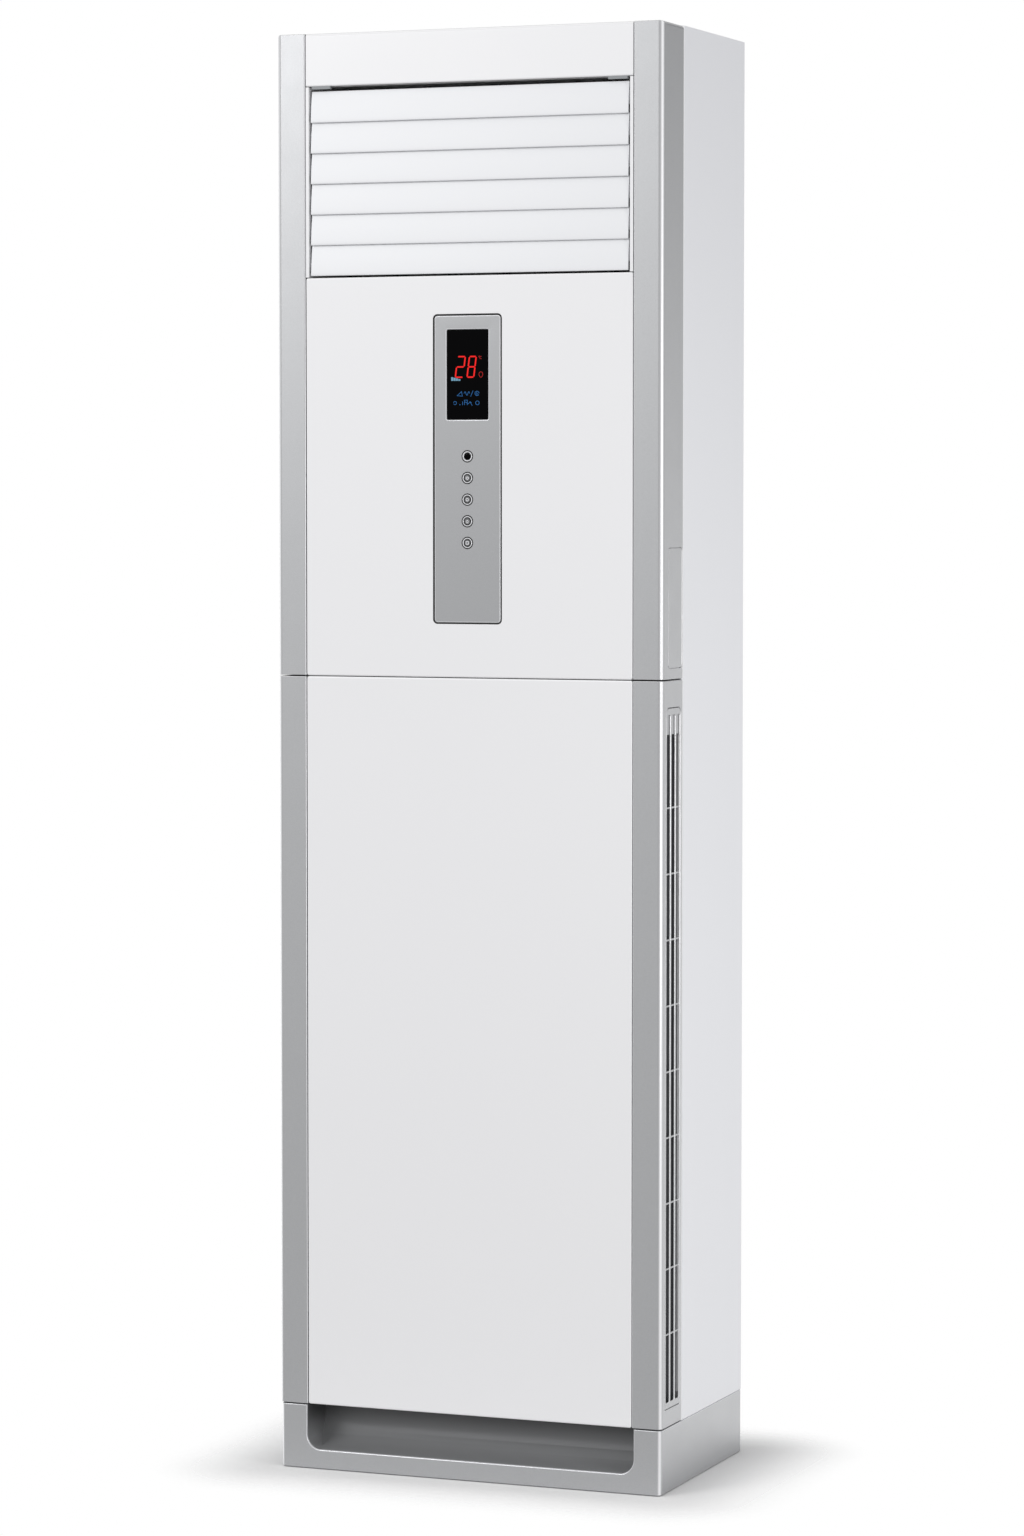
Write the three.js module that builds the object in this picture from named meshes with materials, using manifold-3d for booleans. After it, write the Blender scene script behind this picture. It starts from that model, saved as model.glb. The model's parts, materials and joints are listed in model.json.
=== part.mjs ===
// Floor standing air conditioner, indoor unit.
// Millimetres, +X to the object's right as seen from the front, +Y to the back, +Z up.
// The origin is on the floor, under the middle of the cabinet.

import * as THREE from 'three';
import { mergeVertices } from 'three/addons/utils/BufferGeometryUtils.js';
import Module from 'manifold-3d';

// ---------------------------------------------------------------- driving sizes

// Cabinet
const WIDTH = 507;
const DEPTH = 300;
const PLINTH_TOP = 80.5;
const LOWER_FRONT_HEIGHT = 910.5;
const UPPER_PANEL_HEIGHT = 490.5;
const OUTLET_HEIGHT = 233.5;
const RAIL_HEIGHT = 65;

// Facets of round shapes
const PIN_SIDES = 8;
const KNOB_SIDES = 16;
const RING_SIDES = 24;
const WHEEL_SIDES = 30;
const CORNER_STEPS = 5;
const SMALL_STEPS = 4;

// Clearances
const FIT = 0.3; // between two pieces that seat on each other
const SEAM = 1.0; // visible joint between two outer covers
const TRIM_GAP = 0.9; // between the front panels and the corner trims
const RUNNING = 0.3; // round a pin in its hole

// Sheets and walls
const STEEL = 1.2;
const PLASTIC = 2.5;
const PLINTH_WALL = 3;

// Corner trims
const TRIM_FACE = 38;
const TRIM_SIDE = 72;
const TRIM_CORNER = 7;
const TRIM_RETURN = 12;
const LIP_WIDTH = 10.5;

// Front panels
const PANEL_DEPTH = 12;
const PANEL_EDGE = 1.5;
const RAIL_ROUND = 3;

// Steel cabinet
const FRONT_FLANGE = 30;
const REAR_FLANGE = 15;
const FOOT_FLANGE = 14;
const REAR_RIB_DEPTH = 6;
const REAR_RIB_WIDTH = 32;
const REAR_RIB_SPACING = 110;
const REAR_RIB_COUNT = 4;
const COVER_SKIRT = 12;
const PIPE_HOLE_RADIUS = 33;
const PIPE_HOLE_RISE = 89.5; // above the plinth

// Base pan and plinth
const PLINTH_INSET = 1;
const PLINTH_FLOOR_GAP = 2;
const PLINTH_CORNER = 15;
const PLINTH_DECK = 20;
const RECESS_SIDE_MARGIN = 36.5;
const RECESS_LIP_HEIGHT = 24.5;
const RECESS_CORNER = 18;
const RECESS_DEPTH = 58;
const RECESS_FLOOR_REACH = 0.8; // how far back the floor stays low, of the depth
const RECESS_FLOOR_RISE = 14; // height of the bend between the floor and the back wall
const PAN_HEIGHT = 10;
const PAN_FLANGE = 45;
const PAN_FRONT_FLANGE = 6;
const FOOT_RADIUS = 22;
const FOOT_SIDE_MARGIN = 53.5;
const FOOT_END_MARGIN = 38;

// Intake grille in the side of each lower trim
const GRILLE_FRONT_MARGIN = 13.5; // from the cabinet's front to the grille's edge
const GRILLE_REAR_MARGIN = 7; // from the trim's back edge to the grille's edge
const GRILLE_BOTTOM_MARGIN = 23.5; // above the plinth
const GRILLE_TOP_MARGIN = 31; // below the seam
const GRILLE_ARCH = 9;
const GRILLE_THICKNESS = 3;
const SLOT_COUNT = 3;
const SLOT_EDGE = 2.25; // between the outer slots and the grille's edges
const SLOT_RIB = 5.5; // between two slots
const SLOT_BOTTOM_MARGIN = 7.5; // above the grille's bottom
const SLOT_TOP_MARGIN = 36; // below the grille's top
const CROSSBAR_COUNT = 9;
const CROSSBAR_BOTTOM_MARGIN = 83.1; // from the slots' bottom to the first crossbar
const CROSSBAR_TOP_MARGIN = 87.8; // from the last crossbar to the slots' top
const CROSSBAR_HEIGHT = 3;
const CROSSBAR_SETBACK = 0.8;
const CROSSBAR_OVERLAP = 1; // into the grille's edges
const SCOOP_DEPTH = 1.6;
const CLIP_THICKNESS = 2;
const CLIP_MARGIN = 2;
const CLIP_BOTTOM_MARGIN = 7.5; // above the slots' bottom
const FILTER_THICKNESS = 3;
const FILTER_GAP = 3;
const FILTER_MARGIN = 2;
const FILTER_BORDER = 6;
const FILTER_RECESS = 1;

// Access cover in the side of each upper trim
const COVER_FRONT = 21;
const COVER_WIDTH = 47;
const COVER_RISE = 14.5; // above the seam
const COVER_HEIGHT = 144.5;
const COVER_CORNER = 4;
const COVER_THICKNESS = 1.2;
const COVER_REST = 5;

// Air outlet and louvres
const OUTLET_WALL = 4;
const OUTLET_TUBE_DEPTH = 88;
const LOUVER_COUNT = 6;
const LOUVER_OVERLAP = 1.1; // of each blade over the next
const LOUVER_THICKNESS = 2.4;
const LOUVER_TIP = 1.2; // thickness of the blade's upper edge
const LOUVER_TAPER = 3; // height of the thinned upper edge
const LOUVER_DISH = 0.4; // hollow of the blade's back
const LOUVER_BOW = 0.45; // how far the blade's face bulges
const LOUVER_RIB = 3; // stiffening rib along the blade's back
const LOUVER_TILT = 6;
const LOUVER_SETBACK = 2.7; // from the cabinet's front to the blade's middle
const LOUVER_PIVOT_BACK = 14; // pivot behind the blade's face
const LOUVER_END_GAP = 2.5;
const LOUVER_TOP_GAP = 24.6; // from the opening's top to the first pivot
const LOUVER_BOTTOM_GAP = 21.4; // from the last pivot to the opening's bottom
const LOUVER_EAR = 3;
const LOUVER_EAR_HALF_HEIGHT = 9;
const PIN_RADIUS = 2.5;
const HUB_RADIUS = 5;
const CRANK_RADIUS = 14;
const CRANK_THICKNESS = 2.8;
const LINK_PIN_RADIUS = 1.5;
const LINK_PIN_PLAY = 0.35;
const LINK_THICKNESS = 3;
const LINK_HALF_WIDTH = 4;

// Vertical vanes
const VANE_COUNT = 8;
const VANE_SIDE_MARGIN = 35.6; // from the opening's side to the first vane
const VANE_CHORD = 40;
const VANE_TAPER = 5;
const VANE_THICKNESS = 2.2;
const VANE_PIVOT_BACK = 62; // behind the cabinet's front
const VANE_GAP = 0.7;
const VANE_CRANK = 15;
const VANE_BAR_HEIGHT = 5;
const VANE_BAR_DEPTH = 6;
const VANE_NOTCH_BASE = 14;
const VANE_NOTCH_PLAY = 0.3;
const VANE_NOTCH_SWEEP = 2.5; // room in front of the bar as the vane turns
const VANE_PIN_HOLD = 2; // length of the link pin inside the vane at each end

// Swing motors
const SWING_MOTOR_RADIUS = 14;
const SWING_MOTOR_LENGTH = 19;
const SWING_MOTOR_OFFSET = 8;
const SWING_MOTOR_EAR = 7; // reach of each mounting ear
const SWING_MOTOR_EAR_HALF_WIDTH = 4;
const SWING_MOTOR_EAR_THICKNESS = 1.5;
const SWING_MOTOR_PLUG = 14; // width of the cable entry
const SWING_MOTOR_PLUG_REACH = 3;

// Control plate, window and buttons
const PLATE_HALF_WIDTH = 44;
const PLATE_TOP_MARGIN = 48.5; // below the outlet
const PLATE_HEIGHT = 375;
const PLATE_CORNER = 4.5;
const PLATE_RECESS = 0.4;
const PLATE_FLANGE = 5;
const PLATE_FLANGE_THICKNESS = 2;
const WINDOW_HALF_WIDTH = 27;
const WINDOW_TOP_MARGIN = 17.7; // below the plate's top
const WINDOW_HEIGHT = 109.3;
const WINDOW_CORNER = 1.5;
const WINDOW_THICKNESS = 2;
const WINDOW_LEDGE = 2;
const KEY_DROP = 44.8; // from the window to the first key's middle
const KEY_PITCH = 26.35;
const BUTTON_COUNT = 4;
const BUTTON_RADIUS = 5;
const BUTTON_TRAVEL = 1.2;
const BUTTON_FLANGE = 1.5;
const BUTTON_FLANGE_THICKNESS = 1;
const BUTTON_DOME = 0.3;
const BUTTON_EDGE = 1.2;
const BUTTON_SHOULDER = 0.6; // depth of the rounded edge behind the plate's face
const BUTTON_STEM_RADIUS = 2;
const RING_RADIUS = 7.5;
const RING_HEIGHT = 0.4;
const LENS_RADIUS = 4.4;
const BOARD_THICKNESS = 1.6;
const BOARD_POST = 6.5;
const BOARD_POST_RADIUS = 3;
const BOARD_POST_MARGIN = 6;
const BOARD_POST_RISE = 70; // lower posts, above the plate's bottom
const BOARD_SIDE_MARGIN = 1;
const BOARD_BOTTOM_MARGIN = 60; // above the plate's bottom
const BOARD_TOP_MARGIN = 12; // above the window
const DIGITS_MARGIN = 6;
const SWITCH_SIZE = 6;
const SWITCH_HEIGHT = 2.2;

// Chambers
const DECK_DROP = 16.7; // underside of the plate between the chambers, below the seam
const DUCT_WALL = 2;

// Blower
const BLOWER_X = -15;
const BLOWER_DROP = 374.3; // from the plate between the chambers down to the blower's axis
const WHEEL_RADIUS = 150;
const WHEEL_INNER = 126;
const WHEEL_FRONT = -33;
const WHEEL_BACK = 75;
const BLADE_COUNT = 30;
const BLADE_THICKNESS = 1.8;
const BLADE_MARGIN = 1; // between a blade's edges and the rims of the ring
const BLADE_SWEEP = 7; // degrees between a blade's inner and outer edges
const WHEEL_DISC = 3;
const HUB_OUTER = 16;
const HUB_FRONT = 6;
const HUB_LENGTH = 28;
const HUB_CONE = 12;
const SHAFT_RADIUS = 6;
const SCROLL_START = 162;
const SCROLL_END = 215;
const SCROLL_STEPS = 24;
const NECK_OFFSET = 81; // inner neck wall, from the blower's axis
const CASING_FRONT = -45;
const CASING_BACK = 90;
const CASING_WALL = 2.5;
const NECK_FLANGE = 12;
const INLET_RADIUS = 128;
const BELL_THROAT = 116;
const BELL_FLANGE = 20;
const BELL_WALL = 2;
const BELL_REACH = 18;
const BELL_CLEARANCE = 4;
const MOTOR_RADIUS = 60;
const MOTOR_NOSE_GAP = 8; // between the hub and the motor's nose
const MOTOR_NOSE_LENGTH = 8;
const MOTOR_SHOULDER = 24;
const MOTOR_FLANGE = 14;
const MOTOR_FLANGE_THICKNESS = 3;
const MOTOR_EDGE = 8;
const MOTOR_BACK = 134;
const MOTOR_HOLE = 82;
const BRACKET_REACH = 108;
const BRACKET_ARM = 26;
const BRACKET_THICKNESS = 2;
const BRACKET_RIM = 6;

// Coil
const COIL_TILT = 21;
const COIL_SIDE_MARGIN = 63.5;
const COIL_THICKNESS = 38;
const COIL_LENGTH = 440;
const COIL_FOOT_Y = -52;
const COIL_RISE = 65.7; // from the plate between the chambers up to the coil's foot
const FIN_PITCH = 19;
const FIN_GROOVE = 4;
const FIN_GROOVE_WIDTH = 12;
const TUBE_SIDES = 6;
const TUBE_PLAY = 0.5;
const BEND_STEPS = 4;
const TUBE_RADIUS = 4.8;
const TUBE_ROWS = 8;
const TUBE_PITCH = 52;
const TUBE_ROW_OFFSET = 9.4;
const TUBE_STUB = 6;

// Drain pan and hose
const PAN_WALL = 2.5;
const DRAIN_PAN_HEIGHT = 28;
const DRAIN_PAN_DEPTH = 64;
const DRAIN_PAN_OVERHANG = 10; // past each end of the coil
const SADDLE_WIDTH = 30;
const SPOUT_RADIUS = 6.5;
const SPOUT_WALL = 2;
const HOSE_SIDE_MARGIN = 18.5;
const HOSE_Y = -45;
const HOSE_BACK_Y = 112;
const HOSE_BEND = 18;
const HOSE_TURN = 40; // where it leaves the corner for the pipe hole
const HOSE_HOLE_OFFSET = 12; // from the pipe hole's middle
const HOSE_RADIUS = 9;
const HOSE_WALL = 1.6;
const HOSE_HOLE_PLAY = 5;
const HOSE_STEPS = 16;

// Electrical parts
const BOX_HALF_WIDTH = 105;
const BOX_RISE = 79; // above the seam
const BOX_HEIGHT = 370;
const BOX_DEPTH = 42;
const CABLE_ENTRY_HALF_WIDTH = 40;
const CABLE_ENTRY_MARGIN = 10;
const CIRCUIT_BOARD_MARGIN = 12;
const CIRCUIT_BOARD_STANDOFF = 8;
const STANDOFF_RADIUS = 3;
const STANDOFF_INSET = 8;
const RELAY_COUNT = 4;
const RELAY_PITCH = 24;
const RELAY_WIDTH = 18;
const RELAY_HEIGHT = 22;
const RELAY_DEPTH = 14;
const TRANSFORMER_SIZE = 45;
const TRANSFORMER_DEPTH = 22;
const CAPACITOR_RADIUS = 9;
const CAPACITOR_LENGTH = 24;
const CAPACITOR_PITCH = 40;
const PROCESSOR_SIZE = 26;
const PROCESSOR_THICKNESS = 3;
const TERMINAL_COUNT = 6;
const TERMINAL_PITCH = 14;
const TERMINAL_DEPTH = 14;
const TERMINAL_HEIGHT = 24;
const TERMINAL_WALL = 3;
const TERMINAL_GAP = 14; // below and above the terminal block

// ---------------------------------------------------------------- derived places

const HALF = WIDTH / 2;
const FRONT = -DEPTH / 2;
const BACK = DEPTH / 2;
const SEAM_HEIGHT = PLINTH_TOP + LOWER_FRONT_HEIGHT;
const OUTLET_BOTTOM = SEAM_HEIGHT + UPPER_PANEL_HEIGHT;
const OUTLET_TOP = OUTLET_BOTTOM + OUTLET_HEIGHT;
const TOP = OUTLET_TOP + RAIL_HEIGHT;
const TRIM_INNER = HALF - TRIM_FACE;
const HOLD_IN = FIT / 2; // past a wall's inner face, so that a cut goes right through it
const TRIM_BACK = FRONT + TRIM_SIDE;
const PANEL_HALF = TRIM_INNER - TRIM_GAP;
const PANEL_BACK = FRONT + PANEL_DEPTH;
const LIP_FRONT = PANEL_BACK + FIT;
const CABINET_FRONT = TRIM_BACK + FIT; // front face of the side panels' flanges
const INSIDE_HALF = HALF - STEEL - FIT; // what fits between the side panels
const REAR_SHEET = BACK - STEEL - FIT; // outer face of the rear panel
const REAR_INSIDE = REAR_SHEET - REAR_RIB_DEPTH - STEEL - FIT; // clear of the rear panel's ribs
const COVER_EDGE = CABINET_FRONT + STEEL + FIT; // front edge of the top cover
const INNER_HALF = HALF - TRIM_RETURN - SEAM; // what fits between the trims' rear returns

const RECESS_HALF_WIDTH = HALF - RECESS_SIDE_MARGIN;
const FOOT_X = HALF - FOOT_SIDE_MARGIN;
const FOOT_Y = BACK - FOOT_END_MARGIN;
const PIPE_HOLE_X = -REAR_RIB_SPACING;
const PIPE_HOLE_HEIGHT = PLINTH_TOP + PIPE_HOLE_RISE;

const GRILLE_FRONT = FRONT + GRILLE_FRONT_MARGIN;
const GRILLE_BACK = TRIM_BACK - GRILLE_REAR_MARGIN;
const GRILLE_BOTTOM = PLINTH_TOP + GRILLE_BOTTOM_MARGIN;
const GRILLE_TOP = SEAM_HEIGHT - GRILLE_TOP_MARGIN;
const SLOT_BOTTOM = GRILLE_BOTTOM + SLOT_BOTTOM_MARGIN;
const SLOT_TOP = GRILLE_TOP - SLOT_TOP_MARGIN;
const SLOT_WIDTH = (GRILLE_BACK - GRILLE_FRONT - 2 * SLOT_EDGE - (SLOT_COUNT - 1) * SLOT_RIB) / SLOT_COUNT;
const CROSSBAR_FIRST = SLOT_BOTTOM + CROSSBAR_BOTTOM_MARGIN;
const CROSSBAR_PITCH = (SLOT_TOP - CROSSBAR_TOP_MARGIN - CROSSBAR_FIRST) / (CROSSBAR_COUNT - 1);
const COVER_BOTTOM = SEAM_HEIGHT + COVER_RISE;
const COVER_TOP = COVER_BOTTOM + COVER_HEIGHT;

const MOUTH_HALF = PANEL_HALF - OUTLET_WALL; // half width of the air outlet's opening
const LOUVER_PITCH = (OUTLET_HEIGHT - LOUVER_TOP_GAP - LOUVER_BOTTOM_GAP) / (LOUVER_COUNT - 1);
const LOUVER_CHORD = LOUVER_PITCH + LOUVER_OVERLAP;
const LOUVER_PIVOT_Y = FRONT + LOUVER_SETBACK + LOUVER_PIVOT_BACK;
const LOUVER_HALF = MOUTH_HALF - LOUVER_END_GAP;
const louverHeight = (row) => OUTLET_TOP - LOUVER_TOP_GAP - row * LOUVER_PITCH;
const CRANK_INNER = PANEL_HALF + FIT;
const CRANK_OUTER = CRANK_INNER + CRANK_THICKNESS;
const VANE_PITCH = (2 * (MOUTH_HALF - VANE_SIDE_MARGIN)) / (VANE_COUNT - 1);
const VANE_PIVOT_Y = FRONT + VANE_PIVOT_BACK;
const vaneX = (column) => (column - (VANE_COUNT - 1) / 2) * VANE_PITCH;

const PLATE_TOP = OUTLET_BOTTOM - PLATE_TOP_MARGIN;
const PLATE_BOTTOM = PLATE_TOP - PLATE_HEIGHT;
const WINDOW_TOP = PLATE_TOP - WINDOW_TOP_MARGIN;
const WINDOW_BOTTOM = WINDOW_TOP - WINDOW_HEIGHT;
const keyHeight = (row) => WINDOW_BOTTOM - KEY_DROP - row * KEY_PITCH;

const DECK_HEIGHT = SEAM_HEIGHT - DECK_DROP;
const BLOWER_HEIGHT = DECK_HEIGHT - BLOWER_DROP;
const COIL_HALF_WIDTH = HALF - COIL_SIDE_MARGIN;
const COIL_FOOT_HEIGHT = DECK_HEIGHT + COIL_RISE;
const DRAIN_PAN_HALF = COIL_HALF_WIDTH + DRAIN_PAN_OVERHANG;
const HOSE_X = -HALF + HOSE_SIDE_MARGIN;
const SPOUT_END = HOSE_X + HOSE_BEND; // left end of the drain pan's spout
const BOX_BOTTOM = SEAM_HEIGHT + BOX_RISE;
const BOX_TOP = BOX_BOTTOM + BOX_HEIGHT;
const FAR = 10 * TOP; // well past every piece, for cuts that go right through

// ---------------------------------------------------------------- shape helpers

const wasm = await Module();
wasm.setup();
const MERGE = 1e-3;

/** A closed three.js geometry as a solid that can be cut and joined. */
function toSolid(geometry) {
  const bare = new THREE.BufferGeometry();
  bare.setAttribute('position', geometry.getAttribute('position').clone());
  if (geometry.index) bare.setIndex(geometry.index.clone());
  const merged = mergeVertices(bare, MERGE);
  const index = merged.index.array;
  const triVerts = [];
  for (let i = 0; i < index.length; i += 3) {
    const [a, b, c] = [index[i], index[i + 1], index[i + 2]];
    if (a !== b && b !== c && c !== a) triVerts.push(a, b, c);
  }
  const vertProperties = new Float32Array(merged.getAttribute('position').array);
  const mesh = { numProp: 3, vertProperties, triVerts: new Uint32Array(triVerts) };
  return new wasm.Manifold(new wasm.Mesh(mesh));
}

function toGeometry(solid) {
  const { vertProperties, triVerts } = solid.getMesh();
  const geometry = new THREE.BufferGeometry();
  geometry.setAttribute('position', new THREE.BufferAttribute(new Float32Array(vertProperties), 3));
  geometry.setIndex(new THREE.BufferAttribute(new Uint32Array(triVerts), 1));
  return geometry;
}

const join = (...parts) => toGeometry(parts.flat().map(toSolid).reduce((all, next) => all.add(next)));
const cut = (body, ...tools) =>
  toGeometry(tools.flat().map(toSolid).reduce((left, tool) => left.subtract(tool), toSolid(body)));
const common = (a, b) => toGeometry(toSolid(a).intersect(toSolid(b)));

/** A block between two opposite corners. */
function block(x0, x1, y0, y1, z0, z1) {
  const geometry = new THREE.BoxGeometry(x1 - x0, y1 - y0, z1 - z0);
  return geometry.translate((x0 + x1) / 2, (y0 + y1) / 2, (z0 + z1) / 2);
}

/** A flat outline from a list of [a, b] points. */
const outline = (points) => new THREE.Shape(points.map(([a, b]) => new THREE.Vector2(a, b)));

/** A rectangle with round corners. */
function roundedOutline(a0, a1, b0, b1, radius) {
  const shape = new THREE.Shape();
  shape.moveTo(a0 + radius, b0);
  shape.lineTo(a1 - radius, b0);
  shape.absarc(a1 - radius, b0 + radius, radius, -Math.PI / 2, 0);
  shape.lineTo(a1, b1 - radius);
  shape.absarc(a1 - radius, b1 - radius, radius, 0, Math.PI / 2);
  shape.lineTo(a0 + radius, b1);
  shape.absarc(a0 + radius, b1 - radius, radius, Math.PI / 2, Math.PI);
  shape.lineTo(a0, b0 + radius);
  shape.absarc(a0 + radius, b0 + radius, radius, Math.PI, 1.5 * Math.PI);
  return shape;
}

/** Points on an arc, both ends included. */
function arc(centreA, centreB, radius, from, to, steps) {
  return Array.from({ length: steps + 1 }, (_, i) => {
    const angle = from + ((to - from) * i) / steps;
    return [centreA + radius * Math.cos(angle), centreB + radius * Math.sin(angle)];
  });
}

/** The outline of a bent sheet: `line` is its outer face, and its wall lies to the left of the line. */
function foldedSheet(line, wall) {
  const points = line.map(([a, b]) => new THREE.Vector2(a, b));
  const normals = points.slice(1).map((point, i) => {
    const along = point.clone().sub(points[i]).normalize();
    return new THREE.Vector2(-along.y, along.x);
  });
  const inner = points.map((point, i) => {
    const before = normals[Math.max(i - 1, 0)];
    const after = normals[Math.min(i, normals.length - 1)];
    const mitre = before.clone().add(after).multiplyScalar(wall / (1 + before.dot(after)));
    return point.clone().add(mitre);
  });
  return new THREE.Shape([...points, ...inner.reverse()]);
}

const straight = (depth, curveSegments) => ({ depth, bevelEnabled: false, curveSegments });

/** An outline drawn in plan (X, Y), raised from z0 to z1. */
function raised(shape, z0, z1, curveSegments = 2) {
  return new THREE.ExtrudeGeometry(shape, straight(z1 - z0, curveSegments)).translate(0, 0, z0);
}

/** An outline drawn in the front view (X, Z), carried from y0 back to y1. */
function carriedBack(shape, y0, y1, curveSegments = 2) {
  const geometry = new THREE.ExtrudeGeometry(shape, straight(y1 - y0, curveSegments));
  return geometry.rotateX(Math.PI / 2).translate(0, y1, 0);
}

/** An outline drawn in the side view (Y, Z), carried across from x0 to x1. */
function carriedAcross(shape, x0, x1, curveSegments = 2) {
  const geometry = new THREE.ExtrudeGeometry(shape, straight(x1 - x0, curveSegments));
  const axes = new THREE.Matrix4().makeBasis(
    new THREE.Vector3(0, 1, 0),
    new THREE.Vector3(0, 0, 1),
    new THREE.Vector3(1, 0, 0),
  );
  return geometry.applyMatrix4(axes).translate(x0, 0, 0);
}

const rodAcross = (radius, x0, x1, y, z, sides = PIN_SIDES) =>
  new THREE.CylinderGeometry(radius, radius, x1 - x0, sides)
    .rotateZ(Math.PI / 2)
    .translate((x0 + x1) / 2, y, z);
const rodBack = (radius, y0, y1, x, z, sides = PIN_SIDES) =>
  new THREE.CylinderGeometry(radius, radius, y1 - y0, sides).translate(x, (y0 + y1) / 2, z);
const rodUp = (radius, z0, z1, x, y, sides = PIN_SIDES) =>
  new THREE.CylinderGeometry(radius, radius, z1 - z0, sides)
    .rotateX(Math.PI / 2)
    .translate(x, y, (z0 + z1) / 2);

/** The same piece on the other side of the cabinet. */
function mirrored(geometry) {
  const other = (geometry.index ? geometry.toNonIndexed() : geometry.clone()).scale(-1, 1, 1);
  const position = other.getAttribute('position');
  const corner = new THREE.Vector3();
  const swap = new THREE.Vector3();
  for (let i = 0; i < position.count; i += 3) {
    corner.fromBufferAttribute(position, i + 1);
    swap.fromBufferAttribute(position, i + 2);
    position.setXYZ(i + 1, swap.x, swap.y, swap.z);
    position.setXYZ(i + 2, corner.x, corner.y, corner.z);
  }
  return other;
}

/** A profile of [radius, Y] points, given from front to back on its outer side, turned about (x, z). */
function lathed(profile, sides, x, z) {
  const points = profile.map(([radius, y]) => new THREE.Vector2(radius, y));
  return new THREE.LatheGeometry(points, sides).translate(x, 0, z);
}

// ---------------------------------------------------------------- materials

const finish = (color, roughness, metalness = 0) =>
  new THREE.MeshStandardMaterial({ color, roughness, metalness });
const whitePaint = finish(0xf1f1f2, 0.35);
const whitePlastic = finish(0xf3f3f4, 0.3);
const silverPaint = finish(0xb4b4b6, 0.38, 0.35);
const zincSteel = finish(0xa9adb0, 0.45, 0.8);
const greyPlastic = finish(0x8f9194, 0.5);
const blackPlastic = finish(0x1c1d1f, 0.45);
const blackGlass = finish(0x060607, 0.08);
const finAluminium = finish(0xc5c9cc, 0.4, 0.85);
const copper = finish(0xb4693c, 0.35, 0.9);
const boardGreen = finish(0x1d5a3a, 0.6);
const softPlastic = finish(0xd9dadb, 0.6);
const filterMesh = finish(0x30343a, 0.8);

const cabinet = new THREE.Group();
function add(name, geometry, material, parent = cabinet) {
  const mesh = new THREE.Mesh(geometry, material);
  mesh.name = name;
  parent.add(mesh);
  return mesh;
}

/** Adds a right-hand piece and its mirror image on the left. */
function addPair(name, geometry, material) {
  add(`right_${name}`, geometry, material);
  add(`left_${name}`, mirrored(geometry), material);
}

// ---------------------------------------------------------------- base pan and plinth

function basePan() {
  const inset = PLINTH_WALL + FIT;
  const tray = cut(
    raised(plinthPlan(inset), PAN_HEIGHT, PAN_HEIGHT + PAN_FLANGE),
    raised(plinthPlan(inset + STEEL), PAN_HEIGHT + STEEL, FAR),
    block(-HALF, HALF, FRONT, FRONT + RECESS_DEPTH + 2 * PLINTH_WALL, PAN_HEIGHT + PAN_FRONT_FLANGE, FAR),
  );
  const feet = [-FOOT_X, FOOT_X].flatMap((x) =>
    [-FOOT_Y, FOOT_Y].map((y) => rodUp(FOOT_RADIUS, 0, PAN_HEIGHT + STEEL, x, y, KNOB_SIDES)),
  );
  return join(tray, feet);
}

/** Plan of the plinth, with its wall moved in by `inset`. */
function plinthPlan(inset) {
  const half = HALF - PLINTH_INSET - inset;
  const front = FRONT + PLINTH_INSET + inset;
  const back = BACK - inset;
  const radius = PLINTH_CORNER - inset;
  return outline([
    ...arc(-half + radius, front + radius, radius, Math.PI, 1.5 * Math.PI, CORNER_STEPS),
    ...arc(half - radius, front + radius, radius, 1.5 * Math.PI, 2 * Math.PI, CORNER_STEPS),
    [half, back],
    [-half, back],
  ]);
}

/** The scooped recess under the front panel, with its wall moved out by `outset`. */
function recess(outset) {
  const lip = RECESS_LIP_HEIGHT - outset;
  const half = RECESS_HALF_WIDTH + outset;
  const depth = RECESS_DEPTH + outset;
  const front = FRONT + PLINTH_INSET;
  const corner = RECESS_CORNER + outset;
  const frontView = roundedOutline(-half, half, lip, PLINTH_TOP + 2 * corner, corner);
  const sideView = new THREE.Shape();
  sideView.moveTo(front - RECESS_CORNER, lip);
  sideView.lineTo(front, lip);
  const [wall, knee] = [front + depth, lip + RECESS_FLOOR_RISE];
  sideView.bezierCurveTo(front + depth * RECESS_FLOOR_REACH, lip, wall, knee, wall, PLINTH_TOP);
  sideView.lineTo(wall, TOP);
  sideView.lineTo(front - RECESS_CORNER, TOP);
  return common(
    carriedBack(frontView, FRONT - RECESS_CORNER, 0, 3),
    carriedAcross(sideView, -HALF, HALF, 8),
  );
}

function plinth() {
  const deckHole = block(
    -HALF + PLINTH_DECK,
    HALF - PLINTH_DECK,
    FRONT + RECESS_DEPTH + PLINTH_DECK,
    BACK - PLINTH_DECK,
    0,
    FAR,
  );
  const shell = cut(
    raised(plinthPlan(0), PLINTH_FLOOR_GAP, PLINTH_TOP),
    raised(plinthPlan(PLINTH_WALL), 0, PLINTH_TOP - PLINTH_WALL),
    deckHole,
  );
  const scoopWall = common(recess(PLINTH_WALL), raised(plinthPlan(0), PLINTH_FLOOR_GAP, PLINTH_TOP));
  return cut(join(shell, scoopWall), recess(0));
}

// ---------------------------------------------------------------- steel cabinet

function sidePanel() {
  const sheet = foldedSheet(
    [
      [HALF - FRONT_FLANGE, CABINET_FRONT],
      [HALF, CABINET_FRONT],
      [HALF, BACK],
      [HALF - REAR_FLANGE, BACK],
    ],
    STEEL,
  );
  const bottom = PLINTH_TOP + FIT;
  const root = STEEL / 2;
  const footFlange = block(
    HALF - FOOT_FLANGE,
    HALF - root,
    CABINET_FRONT + root,
    BACK - root,
    bottom,
    bottom + STEEL,
  );
  return join(raised(sheet, bottom, TOP), footFlange);
}

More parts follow.
